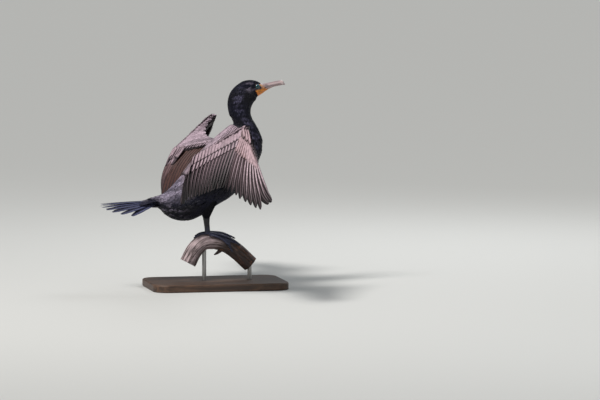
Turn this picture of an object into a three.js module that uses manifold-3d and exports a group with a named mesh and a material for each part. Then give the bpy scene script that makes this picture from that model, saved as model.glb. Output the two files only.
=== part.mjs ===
// A double-crested cormorant drying its half-open wings on a cut length of bent branch.
// Two rods hold the branch over a flat base, as on a museum stand.
// Millimetres. +Z is up, +X is the way the bird faces and +Y is its left.
// The origin is under the middle of the base.
import * as THREE from "three";
import { mergeVertices } from "three/addons/utils/BufferGeometryUtils.js";
import Module from "manifold-3d";

const wasm = await Module();
wasm.setup();

// Driving dimensions of the stand. The bird's own frame starts on top of the branch, under its ankles.
const GAP = 0.3;
const SHORTEST = 0.08;
const BASE = { length: 330, width: 210, height: 18, corner: 34, chamfer: 2.5 };
const PERCH_TOP = 132;
const FEET_X = -20;
const ROD = { radius: 5, positions: [-27, 84], sides: 20 };
const UP = new THREE.Vector3(0, 0, 1);
const LEFT = new THREE.Vector3(0, 1, 0);

// Branch: a bent tube in the bird's own vertical plane, given by its centre line.
const BRANCH = {
  radius: 20.5,
  sides: 18,
  rings: 13,
  line: [[-47, -71], [-30, -40], [-9, -22], [15, -19.5], [44, -27], [74, -47], [106, -77]],
  spur: { at: 48, angle: 172, length: 24, radius: 6.5 },
};

// Body outline in the bird's plane, from the tail's root to the bill: back point, belly point, half width.
const BODY_SIDES = 20;
const BODY = [
  { back: [-130, 89], belly: [-128, 69], half: 17 },
  { back: [-111, 96], belly: [-109, 54], half: 24 },
  { back: [-92, 108], belly: [-88, 39], half: 34 },
  { back: [-74, 126], belly: [-62, 32], half: 44 },
  { back: [-54, 148], belly: [-34, 35], half: 52 },
  { back: [-32, 174], belly: [-6, 48], half: 58 },
  { back: [-8, 199], belly: [27, 69], half: 60 },
  { back: [14, 220], belly: [60, 90], half: 58 },
  { back: [34, 237], belly: [92, 121], half: 53 },
  { back: [50, 250], belly: [119, 162], half: 46 },
  { back: [60, 258], belly: [134, 196], half: 38 },
  { back: [64, 264], belly: [134, 224], half: 32 },
  { back: [63, 270], belly: [126, 246], half: 28 },
  { back: [59, 279], belly: [117, 263], half: 25 },
  { back: [54, 290], belly: [110, 276], half: 23 },
  { back: [52, 303], belly: [107, 288], half: 22 },
  { back: [52, 316], belly: [108, 299], half: 21.5 },
  { back: [55, 329], belly: [111, 307], half: 21 },
  { back: [61, 341], belly: [115, 314], half: 20.5 },
  { back: [70, 351], belly: [118.5, 319], half: 20 },
  { back: [81, 359], belly: [121, 322.5], half: 19 },
  { back: [93, 364.5], belly: [122.5, 325], half: 17.5 },
  { back: [107, 366], belly: [124.5, 327], half: 16 },
  { back: [121, 363.5], belly: [128, 329.5], half: 13 },
  { back: [134, 358], belly: [134, 333], half: 9.5 },
  { back: [147, 358.8], belly: [148.7, 343], half: 6.6 },
  { back: [160, 361.5], belly: [161, 348.8], half: 5.2 },
  { back: [173, 364], belly: [174, 353.5], half: 4.6 },
  { back: [182, 364.6], belly: [182, 356], half: 4.2 },
  { back: [187.5, 362.5], belly: [186, 356.5], half: 3.2 },
  { back: [190.5, 358], belly: [188.8, 356], half: 1.6 },
];
const ROUNDNESS = 2.15;
const NECK_FROM = 11;
const HEAD_FROM = 20;
const BILL_FROM = 24;
const CUT = 0.02;

// Face: the mouth line, where horn gives way to bare skin, and the eye.
const GAPE = [112, 341.5];
const MOUTH_TIP = [200, 357.6];
const SKIN_FROM = [117, 342];
const SKIN_TO = [156, 346.5];
const POUCH_REAR = [123, 322];
const EYE = { x: 121.5, z: 351, radius: 6.2, side: 8.9, lid: 1.1 };
const NOSTRIL = { x: 143, z: 354.6, length: 9, height: 1.1, depth: 1.2 };

// Legs, in the bird's frame. The left foot stands a little ahead.
const STEP = 4;
const THIGH = [
  { at: [-2, 30, 84], along: 24, across: 17 },
  { at: [-4, 25, 58], along: 14, across: 12 },
  { at: [-4.5, 21.5, 43], along: 8, across: 6.8 },
];
const TARSUS = [
  { at: [-4, 21.5, 42.7], along: 7.4, across: 5.6 },
  { at: [-3, 17, 26], along: 6.2, across: 4.2 },
  { at: [-1, 12.5, 7.5], along: 6.4, across: 4.4 },
];
// Toes follow the bark: distance along the branch and angle round it, root, middle and tip.
const TOES = {
  hallux: { path: [[0, 34], [-10, 22], [-20, 14]], radius: 2.6 },
  inner: { path: [[4, 34], [30, 20], [54, 13]], radius: 3 },
  middle: { path: [[5, 40], [38, 44], [72, 46]], radius: 3.4 },
  outer: { path: [[3, 48], [30, 68], [66, 108]], radius: 3.4 },
};
const WEBS = [["hallux", "inner"], ["inner", "middle"], ["middle", "outer"]];
const WEB = { thick: 1, height: 2, start: 0.1, reach: 0.88, scallop: 0.2 };
const TOE_CLEAR = 1.4;
const CLAW = { length: 9, radius: 1.9 };
const ANKLE_TOP = 7.2;

// Bones of the left wing, in the bird's frame. PATAGIUM is how far the fold of skin in front reaches from the
// elbow towards the line from shoulder to wrist.
const SHOULDER = [70, 34, 222];
const ELBOW = [-53, 125, 188];
const WRIST = [54, 205, 264];
const FINGER = [54, 300, 205];
const PATAGIUM = 0.66;
// Sections of arm and hand: thickness at the bone and at the front edge, and reach behind and ahead of the bone.
const ARM = { thick: 8, edge: 2.4, rear: 10, front: 9, rings: 6 };
const PALM = { thick: 6.5, edge: 2.4, rear: 9, front: 9, rings: 3, end: 0.45 };

// Flight feathers, numbered from the innermost tertial: where the elbow, the wrist and the last finger come.
const QUILLS = { elbow: 3, wrist: 16.2, finger: 26, tertialRoot: 0.85 };
const UPPER_TO = 2.5;
const FOREARM_TO = 16.5;
const VANE_THICK = 0.62;
const TERTIAL = { width: 21, bow: 0, roll: 12 };
const SECONDARY = { width: 16, bow: -2, roll: 10 };
const INNER_PRIMARY = { width: 31, bow: -5, roll: 8 };
const PRIMARY = { width: 29, bow: -7, roll: 12 };
// How far feathers arch over their upper face: most by the elbow, less from the sixth quill outwards.
const ARCH = { inner: 15, outer: 5.5, until: 7 };
// Where the tip of every second flight feather comes.
const TIPS = [
  [-84, 134, 80],
  [-81, 162, 88],
  [-77, 190, 97],
  [-68, 211, 105],
  [-57, 226, 111],
  [-44, 235, 117],
  [-31, 240, 122],
  [-18, 244, 127],
  [-6, 251, 127],
  [1, 297, 121],
  [11, 358, 113],
  [25, 408, 101],
  [41, 458, 98],
  [58, 484, 114],
];
// Widths of a long feather: share of its length, share of its width.
const FEATHER = [[0, 0.5], [0.38, 0.95], [0.84, 0.82], [1, 0.16]];

// Short feathers between elbow and body: places along the upper arm, and the first and last tip.
const HUMERALS = {
  count: 4,
  width: 24,
  camber: 12,
  roll: 8,
  from: 0.36,
  to: 0.74,
  near: [-44, 74, 116],
  far: [-84, 116, 80],
};

// Tiers of coverts by quill number: how far along the flight feathers, and how high over them, a covert's root,
// middle and tip are.
const COVERTS = {
  forearm: [
    { from: 0.5, to: 15.7, count: 9, width: 21, along: [-6, 15, 33], height: [4.5, 7.2, 7.6] },
    { from: 0, to: 15.2, count: 7, width: 26, along: [-14, -2, 13], height: [-3, 9.4, 10.4] },
  ],
  hand: [
    { from: 17.6, to: 25.2, count: 6, width: 23, along: [-3, 26, 56], height: [2.4, 8.4, 10.5] },
  ],
};
// Scapulars rise from the upper arm and lie on the back: station, share of the way to their own angle round the
// body, and height at each point.
const SCAPULARS = {
  width: 23,
  widths: [0.5, 0.9, 1, 0.9, 0.3],
  roll: 4,
  from: 0.24,
  step: 0.03,
  lift: 3,
  angles: [22, 38, 54, 70],
  start: 58,
  course: [[7.9, 0.35, 5.5], [6.8, 0.85, 5], [5.5, 1, 4.4], [4.1, 1.05, 3.4]],
};
const COVERT = { widths: [0.6, 1, 0.3], roll: 5 };
// The small feathers of the thumb: shares along each, widths there, and how high they stand off the hand.
const ALULA = {
  lengths: [54, 38],
  width: 15,
  at: [0, 0.4, 0.8, 1],
  widths: [0.7, 1, 0.8, 0.25],
  from: 8,
  ahead: 6,
  step: 3,
  base: 1,
  rise: 2.2,
  arch: 5,
};

// Tail: pairs of stiff feathers from the middle outwards, and the short feathers over and under their roots.
const TAIL = {
  root: [-128, 80],
  pairs: 6,
  length: 131,
  shorten: 0.4,
  spread: 34,
  drop: 6,
  droop: 21,
  width: 17,
  widths: [[0, 0.45], [0.5, 0.95], [0.9, 0.85], [1, 0.25]],
  layer: 0.8,
  roll: [5, 32],
};
const TAIL_BASE = { length: 34, drop: 9, narrow: 0.72 };
const TAIL_COVERTS = {
  count: 3,
  width: 17,
  widths: [0.7, 1, 0.3],
  roll: 4,
  length: 44,
  spread: 20,
  side: 8,
  rise: 3.2,
  end: 0.6,
};

const V = (x, y, z) => new THREE.Vector3(x, y, z);
const mix = THREE.MathUtils.lerp;
const radians = THREE.MathUtils.degToRad;

// A closed geometry over rings that all have the same even number of points. From flipFrom on, the quads are
// split the other way, so that the two faces of a thin plate have the same triangles.
function skin(rings, flipFrom = Infinity) {
  const sides = rings[0].length;
  const faces = [];
  for (let i = 0; i + 1 < rings.length; i++)
    for (let k = 0; k < sides; k++) {
      const [a, b] = [i * sides + k, i * sides + ((k + 1) % sides)];
      const [c, d] = [a + sides, b + sides];
      faces.push(...(k < flipFrom ? [a, b, d, a, d, c] : [a, b, c, b, d, c]));
    }
  const end = (rings.length - 1) * sides;
  for (let k = 0; k < sides / 2 - 1; k++) {
    const [a, b, c, d] = [k, k + 1, sides - 2 - k, sides - 1 - k];
    faces.push(b, a, d, b, d, c);
    faces.push(end + a, end + b, end + d, end + b, end + c, end + d);
  }
  const positions = new Float32Array(rings.flat().flatMap((p) => [p.x, p.y, p.z]));
  return outward(positions, faces);
}

// Turns the faces round where their signed volume is negative.
function outward(positions, faces) {
  let volume = 0;
  const at = (i) => V().fromArray(positions, 3 * i);
  for (let i = 0; i < faces.length; i += 3)
    volume += at(faces[i]).dot(at(faces[i + 1]).cross(at(faces[i + 2])));
  if (volume < 0) faces.reverse();
  return new THREE.BufferGeometry()
    .setAttribute("position", new THREE.BufferAttribute(positions, 3))
    .setIndex(faces);
}

// A geometry as a solid that can be joined and cut, and back.
function solid(geometry) {
  const bare = new THREE.BufferGeometry()
    .setAttribute("position", geometry.getAttribute("position"))
    .setIndex(geometry.index);
  const merged = mergeVertices(bare, 1e-3);
  const vertProperties = new Float32Array(merged.attributes.position.array);
  return new wasm.Manifold(
    new wasm.Mesh({ numProp: 3, vertProperties, triVerts: new Uint32Array(merged.index.array) }),
  );
}

function geometryOf(made) {
  const mesh = cleaned(cleaned(made)).getMesh();
  const geometry = new THREE.BufferGeometry()
    .setAttribute("position", new THREE.BufferAttribute(mesh.vertProperties, 3))
    .setIndex(new THREE.BufferAttribute(mesh.triVerts, 1));
  geometry.computeVertexNormals();
  return geometry;
}

// The largest closed surface of a solid.
function largest(made) {
  return made.decompose().reduce((a, b) => (b.volume() > a.volume() ? b : a));
}

// The largest closed surface once edges too short to matter are gone and the mesh is read again.
function cleaned(made) {
  return largest(new wasm.Manifold(made.simplify(SHORTEST).getMesh()));
}

function joined(pieces) {
  return pieces.map((p) => (p.isBufferGeometry ? solid(p) : p)).reduce((a, b) => a.add(b));
}

// A value from a list of numbers at a fractional index, smooth through each.
function smooth(list, index) {
  const i = Math.min(Math.max(Math.floor(index), 0), list.length - 2);
  const t = index - i;
  const [a, b, c, d] = [-1, 0, 1, 2].map((k) => list[Math.min(Math.max(i + k, 0), list.length - 1)]);
  return b + 0.5 * t * (c - a + t * (2 * a - 5 * b + 4 * c - d + t * (3 * (b - c) + d - a)));
}

// One ring of the body at a fractional station, widened by grow.
function bodyRing(index, grow = 0) {
  const pick = (read) => smooth(BODY.map(read), index);
  const back = V(pick((s) => s.back[0]), 0, pick((s) => s.back[1]));
  const belly = V(pick((s) => s.belly[0]), 0, pick((s) => s.belly[1]));
  const middle = back.clone().add(belly).multiplyScalar(0.5);
  const radius = back.clone().sub(middle);
  radius.setLength(radius.length() + grow);
  const half = pick((s) => s.half) + grow;
  return Array.from({ length: BODY_SIDES }, (_, k) => {
    const angle = (2 * Math.PI * (k + 0.5)) / BODY_SIDES;
    const bulge = (v) => Math.sign(v) * Math.abs(v) ** (2 / ROUNDNESS);
    return middle.clone().addScaledVector(radius, bulge(Math.cos(angle))).setY(half * bulge(Math.sin(angle)));
  });
}

// The body between two stations, with steps rings to each station.
function bodyPart(from, to, steps, grow = 0) {
  const count = Math.round((to - from) * steps);
  return skin(Array.from({ length: count + 1 }, (_, i) => bodyRing(mix(from, to, i / count), grow)));
}

// A limb through stations with a place, a half depth along X and a half width along Y.
function limb(stations, side, steps, sides = 12) {
  const last = stations.length - 1;
  const rings = Array.from({ length: last * steps + 1 }, (_, i) => {
    const pick = (read) => smooth(stations.map(read), i / steps);
    return Array.from({ length: sides }, (_, k) => {
      const angle = (2 * Math.PI * (k + 0.5)) / sides;
      return V(
        pick((s) => s.at[0]) + stepOf(side) + pick((s) => s.along) * Math.cos(angle),
        side * (pick((s) => s.at[1]) + pick((s) => s.across) * Math.sin(angle)),
        pick((s) => s.at[2]),
      );
    });
  });
  return skin(rings);
}

// The branch's centre line, and the place s along it, at an angle from its top and a height over the bark.
const branchLine = new THREE.CatmullRomCurve3(BRANCH.line.map(([x, z]) => V(x, 0, z)));
branchLine.arcLengthDivisions = 400;
const branchLength = branchLine.getLength();
const branchStart = (() => {
  let u = 0;
  while (branchLine.getPointAt(u).x < 0) u += 0.001;
  return u * branchLength;
})();

function onBranch(s, degrees, height) {
  const u = THREE.MathUtils.clamp((branchStart + s) / branchLength, 0, 1);
  const along = branchLine.getTangentAt(u);
  const out = V(-along.z, 0, along.x);
  const radius = BRANCH.radius + height;
  return branchLine
    .getPointAt(u)
    .addScaledVector(out, radius * Math.cos(radians(degrees)))
    .addScaledVector(LEFT, radius * Math.sin(radians(degrees)));
}

function branch(grow = 0) {
  const rings = Array.from({ length: BRANCH.rings + 1 }, (_, i) =>
    Array.from({ length: BRANCH.sides }, (_, k) =>
      onBranch(
        mix(-branchStart, branchLength - branchStart, i / BRANCH.rings),
        (360 * (k + 0.5)) / BRANCH.sides,
        grow,
      ),
    ),
  );
  return solid(skin(rings));
}

// A tapered rod of round section between points, with a radius at each.
function taper(points, radii, sides = 8) {
  const rings = points.map((p, i) => {
    const before = points[Math.max(i - 1, 0)];
    const along = points[Math.min(i + 1, points.length - 1)].clone().sub(before).normalize();
    const across = V().crossVectors(along, Math.abs(along.z) < 0.8 ? UP : LEFT).normalize();
    const other = V().crossVectors(across, along);
    return Array.from({ length: sides }, (_, k) => {
      const angle = (2 * Math.PI * (k + 0.5)) / sides;
      return p
        .clone()
        .addScaledVector(across, radii[i] * Math.cos(angle))
        .addScaledVector(other, radii[i] * Math.sin(angle));
    });
  });
  return skin(rings);
}

function perch() {
  const { at, angle, length, radius } = BRANCH.spur;
  const root = onBranch(at, angle, -12);
  const tip = onBranch(at - length, angle, length * 0.55);
  const spur = taper([root, root.clone().lerp(tip, 0.6), tip], [radius, radius * 0.6, 0.8]);
  return joined([branch(), spur]);
}

// How far ahead the foot on that side stands.
function stepOf(side) {
  return side > 0 ? STEP : 0;
}

// Where a toe's line runs at a share of its length: distance along the branch and angle round it.
function toeTrack(name, share) {
  const { path } = TOES[name];
  return [0, 1].map((k) => smooth(path.map((p) => p[k]), 2 * share));
}

function toePoint(name, share, side, height) {
  const [s, angle] = toeTrack(name, share);
  return onBranch(s + stepOf(side), side * angle, height);
}

function toe(name, side) {
  const { radius } = TOES[name];
  const shares = [0, 0.33, 0.67, 1];
  const radii = shares.map((t, i) => radius * mix(1.15, 0.72, t) * (i % 2 ? 0.9 : 1));
  const points = shares.map((t, i) => toePoint(name, t, side, radii[i] + TOE_CLEAR));
  return taper(points, radii, 5);
}

function claw(name, side) {
  const { radius } = TOES[name];
  const reach = CLAW.length / toeLength(name);
  const points = [-0.04, reach * 0.5, reach].map((t, i) =>
    toePoint(name, 1 + t, side, radius * 0.72 + TOE_CLEAR + [0, 0.6, -0.9][i]),
  );
  return taper(points, [CLAW.radius, CLAW.radius * 0.72, 0.35], 4);
}

function toeLength(name) {
  return toePoint(name, 0, 1, 0).distanceTo(toePoint(name, 1, 1, 0));
}

// The web between two toes, a thin plate that follows the bark.
function web(from, to, side) {
  const [across, along] = [3, 2];
  const layer = (height) =>
    Array.from({ length: along + 1 }, (_, i) =>
      Array.from({ length: across + 1 }, (_, j) => {
        const v = j / across;
        const share = mix(WEB.start, WEB.reach - WEB.scallop * Math.sin(Math.PI * v), i / along);
        const [a, b] = [toeTrack(from, share), toeTrack(to, share)];
        return onBranch(mix(a[0], b[0], v) + stepOf(side), side * mix(a[1], b[1], v), height);
      }),
    );
  return plate(layer(WEB.height + WEB.thick), layer(WEB.height));
}

// A closed plate between two grids of points.
function plate(top, bottom) {
  return skin(top.map((row, i) => [...row, ...[...bottom[i]].reverse()]), top[0].length);
}

function foot(side) {
  const low = TARSUS.at(-1);
  const root = onBranch(2, side * 36, 1.5);
  const ankle = limb(
    [
      { at: [root.x, Math.abs(root.y), root.z], along: 9, across: 5.5 },
      { at: [low.at[0] + 1, low.at[1], low.at[2] - 4], along: 7.4, across: 5 },
      { at: [...low.at.slice(0, 2), ANKLE_TOP], along: low.along, across: low.across },
    ],
    side,
    1,
    10,
  );
  const toes = Object.keys(TOES).flatMap((name) => [toe(name, side), claw(name, side)]);
  const webs = WEBS.map(([from, to]) => web(from, to, side));
  return largest(joined([solid(ankle).subtract(branch(GAP)), ...toes, ...webs]));
}

// A point of a list of places at a share of its length.
function placeAlong(list, t) {
  return V(...[0, 1, 2].map((axis) => smooth(list.map((p) => p[axis]), t * (list.length - 1))));
}

// A closed wing section: thick at the bone, thin at its front edge and closing behind it.
function section(bone, ahead, normal, front, { rear, thick, edge }, size = 1) {
  const outline = [
    [-rear * size, 0.35],
    [-rear * 0.3 * size, 0.95],
    [0.3 * front, 0.85],
    [front, edge / thick / 2],
  ];
  const side = (sign) =>
    outline.map(([x, h]) =>
      bone.clone().addScaledVector(ahead, x).addScaledVector(normal, sign * h * thick * size),
    );
  return [...side(1), ...side(-0.8).reverse()];
}

// The arm: a thick rear edge along its two bones, with a concave fold of skin in front.
const shoulder = V(...SHOULDER);
const elbow = V(...ELBOW);
const wrist = V(...WRIST);
const finger = V(...FINGER);
const armNormal = V().crossVectors(shoulder.clone().sub(elbow), wrist.clone().sub(elbow)).normalize();
const foldControl = (() => {
  const between = shoulder.clone().lerp(wrist, 0.5);
  return elbow.clone().lerp(between, PATAGIUM).multiplyScalar(2).sub(between);
})();
const foldEdge = new THREE.QuadraticBezierCurve3(shoulder, foldControl, wrist);

// A place on the arm's bones and the skin ahead of it: 0 at the shoulder, 1 at the elbow, 2 at the wrist.
function armAt(place) {
  const bone = place < 1 ? shoulder.clone().lerp(elbow, place) : elbow.clone().lerp(wrist, place - 1);
  const chord = foldEdge.getPoint(place / 2).sub(bone);
  const reach = Math.hypot(chord.length(), ARM.front);
  const ahead = chord.length() > 1 ? chord.normalize() : foldControl.clone().sub(elbow).normalize();
  return { bone, ahead, reach };
}

function arm() {
  const rings = Array.from({ length: 2 * ARM.rings + 1 }, (_, i) => {
    const { bone, ahead, reach } = armAt(i / ARM.rings);
    return section(bone, ahead, armNormal, reach, ARM);
  });
  return solid(skin(rings, rings[0].length / 2));
}

// Where a flight feather's root and tip are, by its number, with its direction, the spread to the next one and
// the way its upper face looks.
function rootAt(quill) {
  const { elbow: first, wrist: second, finger: third, tertialRoot } = QUILLS;
  if (quill < first) return shoulder.clone().lerp(elbow, mix(tertialRoot, 1, quill / first));
  if (quill < second) return elbow.clone().lerp(wrist, (quill - first) / (second - first));
  return wrist.clone().lerp(finger, (quill - second) / (third - second));
}

function tipAt(quill) {
  return placeAlong(TIPS, quill / QUILLS.finger);
}

function quillAt(quill) {
  const [root, tip] = [rootAt(quill), tipAt(quill)];
  const middle = (q) => rootAt(q).lerp(tipAt(q), 0.45);
  const along = tip.clone().sub(root).normalize();
  const spread = middle(quill + 0.7).sub(middle(quill - 0.7));
  const across = spread.addScaledVector(along, -spread.dot(along)).normalize();
  return { root, tip, along, across, up: V().crossVectors(across, along) };
}

// A thin vane along a line of points, with a width at each, rolled so that one edge lies over the next vane.
function vane(line, spread, widths, roll) {
  const [cos, sin] = [Math.cos(radians(roll)), Math.sin(radians(roll))];
  const rings = line.map((p, i) => {
    const along = line[Math.min(i + 1, line.length - 1)].clone().sub(line[Math.max(i - 1, 0)]).normalize();
    const flat = spread.clone().addScaledVector(along, -spread.dot(along)).normalize();
    const up = V().crossVectors(flat, along);
    const across = flat.clone().multiplyScalar(cos).addScaledVector(up, sin).multiplyScalar(widths[i] / 2);
    const normal = up.clone().multiplyScalar(cos).addScaledVector(flat, -sin).multiplyScalar(VANE_THICK / 2);
    const corner = (x, h) => p.clone().addScaledVector(across, x).addScaledVector(normal, h);
    return [corner(-1, 1), corner(1, 1), corner(1, -1), corner(-1, -1)];
  });
  return skin(rings, 2);
}

// A long feather, arched over its upper face and bowed in its own plane.
function feather({ root, tip, across, up }, { width, camber, bow = 0, roll }) {
  const line = FEATHER.map(([t]) => {
    const arch = 4 * t * (1 - t);
    return root.clone().lerp(tip, t).addScaledVector(up, camber * arch).addScaledVector(across, bow * arch);
  });
  return vane(line, across, FEATHER.map(([, share]) => width * share), roll);
}

// Coverts start inside the bone's flesh, rise over it and end on the flight feathers.
function covert(tier, quill) {
  const { root, along, across, up } = quillAt(quill);
  const line = tier.along.map((reach, i) =>
    root.clone().addScaledVector(along, reach).addScaledVector(up, tier.height[i] * (i ? 1 : fleshAt(quill))),
  );
  return vane(line, across, COVERT.widths.map((share) => share * tier.width), COVERT.roll);
}

function coverts(tier, from, to) {
  const numbers = Array.from({ length: tier.count }, (_, i) => mix(tier.from, tier.to, i / (tier.count - 1)));
  return numbers.filter((quill) => quill > from && quill < to).map((quill) => covert(tier, quill));
}

// How thick the flesh is at a quill: full along the arm and thinner towards the last finger.
function fleshAt(quill) {
  return mix(1, PALM.end, Math.max(quill - QUILLS.wrist, 0) / (QUILLS.finger - QUILLS.wrist));
}

// The hand, from the wrist to the last finger. Its front edge looks away from the feathers.
const handAxis = finger.clone().sub(wrist).normalize();
const palm = (() => {
  const { along, up } = quillAt(FOREARM_TO + 3);
  const normal = up.clone().addScaledVector(handAxis, -up.dot(handAxis)).normalize();
  const ahead = V().crossVectors(handAxis, normal);
  return { normal, ahead: ahead.dot(along) > 0 ? ahead.negate() : ahead };
})();

function hand() {
  const rings = Array.from({ length: PALM.rings + 1 }, (_, i) => {
    const size = mix(1, PALM.end, i / PALM.rings);
    const bone = wrist.clone().lerp(finger, i / PALM.rings);
    return section(bone, palm.ahead, palm.normal, PALM.front * size, PALM, size);
  });
  return solid(skin(rings, rings[0].length / 2));
}

function alula() {
  const { at, widths, width, from, ahead, step, base, rise, arch } = ALULA;
  return ALULA.lengths.map((length, i) => {
    const root = wrist
      .clone()
      .addScaledVector(palm.ahead, ahead - step * i)
      .addScaledVector(palm.normal, base + rise * i)
      .addScaledVector(handAxis, from);
    const line = at.map((t) =>
      root.clone().addScaledVector(handAxis, length * t).addScaledVector(palm.normal, arch * Math.sin(2 * t)),
    );
    return vane(line, palm.ahead.clone(), widths.map((share) => share * width), COVERT.roll);
  });
}

function humerals() {
  const { count, from, to, near, far } = HUMERALS;
  const spread = elbow.clone().sub(shoulder).normalize();
  return Array.from({ length: count }, (_, i) => {
    const t = i / (count - 1);
    const root = shoulder.clone().lerp(elbow, mix(from, to, t));
    const tip = V(...near).lerp(V(...far), t);
    const along = tip.clone().sub(root).normalize();
    const across = spread.clone().addScaledVector(along, -spread.dot(along)).normalize();
    return feather({ root, tip, across, up: V().crossVectors(across, along) }, HUMERALS);
  });
}

// A point over the back: station along the body, angle from its midline and height.
function overBack(station, angle, height) {
  const pick = (read) => smooth(BODY.map(read), station);
  const back = V(pick((s) => s.back[0]), 0, pick((s) => s.back[1]));
  const belly = V(pick((s) => s.belly[0]), 0, pick((s) => s.belly[1]));
  const middle = back.clone().add(belly).multiplyScalar(0.5);
  const radius = back.clone().sub(middle);
  radius.setLength(radius.length() + height);
  const [cos, sin] = [Math.cos, Math.sin].map((read) => read(radians(angle)) ** (2 / ROUNDNESS));
  return middle.addScaledVector(radius, cos).setY((pick((s) => s.half) + height) * sin);
}

function scapulars() {
  const { width, widths, roll, from, step, lift, angles, start, course } = SCAPULARS;
  const station = course[2][0];
  return angles.map((angle, i) => {
    const root = shoulder.clone().lerp(elbow, from + step * i).addScaledVector(armNormal, lift);
    const line = course.map(([at, share, height]) => overBack(at, mix(start, angle, share), height));
    const spread = overBack(station, angle + 8, 0).sub(overBack(station, angle - 8, 0)).normalize();
    return vane([root, ...line], spread, widths.map((share) => share * width), roll);
  });
}

function quills(from, to, shape) {
  return Array.from({ length: to - from + 1 }, (_, i) => {
    const camber = mix(ARCH.inner, ARCH.outer, Math.min((from + i) / ARCH.until, 1) ** 0.7);
    return feather(quillAt(from + i), { ...shape, camber });
  });
}

// A solid on the outer side, or with keep -1 on the inner side, of the plane that a quill number gives.
function cutAt(made, quill, keep) {
  const { root, across } = quillAt(quill);
  const normal = across.clone().multiplyScalar(keep);
  return made.trimByPlane(normal.toArray(), normal.dot(root) + GAP / 2);
}

// The left wing in three nodes. Coverts near the plane between arm and forearm belong to both.
function wing(trunk) {
  const lap = 0.8;
  const coverOver = (from, to) => COVERTS.forearm.flatMap((tier) => coverts(tier, from, to));
  const short = [...humerals(), ...scapulars()];
  const upper = [arm(), ...short, ...quills(0, 2, TERTIAL), ...coverOver(0, UPPER_TO + lap)];
  const outer = [arm(), ...quills(3, 16, SECONDARY), ...coverOver(UPPER_TO - lap, FOREARM_TO)];
  const primaries = [...quills(17, 20, INNER_PRIMARY), ...quills(21, 26, PRIMARY)];
  const handCoverts = COVERTS.hand.flatMap((tier) => coverts(tier, 0, QUILLS.finger));
  const fingers = [hand(), ...handCoverts, ...alula(), ...primaries];
  return {
    upper_arm: largest(cutAt(joined(upper), UPPER_TO, -1).subtract(trunk)),
    forearm: largest(cutAt(cutAt(joined(outer), UPPER_TO, 1), FOREARM_TO, -1).subtract(trunk)),
    hand: largest(cutAt(joined(fingers), FOREARM_TO, 1)),
  };
}

// Tail feathers fan out like a low roof, each outer one a layer lower than the one inside it.
function tailFeather(pair, side) {
  const share = pair / (TAIL.pairs - 1);
  const angle = radians(TAIL.spread * share ** 1.3);
  const length = TAIL.length * (1 - TAIL.shorten * share ** 2.5);
  const root = V(TAIL.root[0], side * (4 + 1.5 * pair), TAIL.root[1] - TAIL.layer * pair);
  const tip = V(
    TAIL.root[0] - length * Math.cos(angle),
    side * (8.4 + length * Math.sin(angle)),
    root.z - TAIL.drop - TAIL.droop * share ** 0.9,
  );
  const line = TAIL.widths.map(([t]) => root.clone().lerp(tip, t));
  const widths = TAIL.widths.map(([, w]) => w * TAIL.width);
  return vane(line, LEFT, widths, -side * mix(...TAIL.roll, share));
}

function tailCoverts() {
  const { count, width, widths, roll, length, spread, side, rise, end } = TAIL_COVERTS;
  return Array.from({ length: count }, (_, i) => {
    const v = (2 * i) / (count - 1) - 1;
    const [angle, low] = [radians(spread * v), 2.5 * Math.abs(v)];
    const root = V(TAIL.root[0] - 4, side * v, TAIL.root[1] + rise * 0.5 - low);
    const tip = root.clone().add(V(-length * Math.cos(angle), length * Math.sin(angle), 0));
    tip.z = TAIL.root[1] + end - low * 1.6;
    const middle = root.clone().lerp(tip, 0.5).addScaledVector(UP, rise * 0.3);
    return vane([root, middle, tip], LEFT, widths.map((share) => share * width), -Math.sign(v) * roll);
  });
}

function tail() {
  const { length, drop, narrow } = TAIL_BASE;
  const stump = [0, 0.5, 1].map((t) =>
    bodyRing(0).map((p) =>
      V(p.x - length * t, p.y * mix(1, narrow, t), mix(p.z, TAIL.root[1] - drop * t * 0.3, t * 0.75)),
    ),
  );
  const row = (side) => Array.from({ length: TAIL.pairs }, (_, pair) => tailFeather(pair, side));
  const whole = joined([skin(stump), ...row(1), ...row(-1), ...tailCoverts()]);
  return largest(whole.trimByPlane([-1, 0, 0], -(BODY[0].back[0] - GAP)));
}

// A prism over an outline in the bird's plane, used to part the bill.
function prism(outline) {
  const shape = new THREE.Shape(outline.map(([x, z]) => new THREE.Vector2(x, z)));
  const geometry = new THREE.ExtrudeGeometry(shape, { depth: 120, bevelEnabled: false });
  geometry.rotateX(Math.PI / 2).translate(0, 60, 0);
  return solid(geometry);
}

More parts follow.
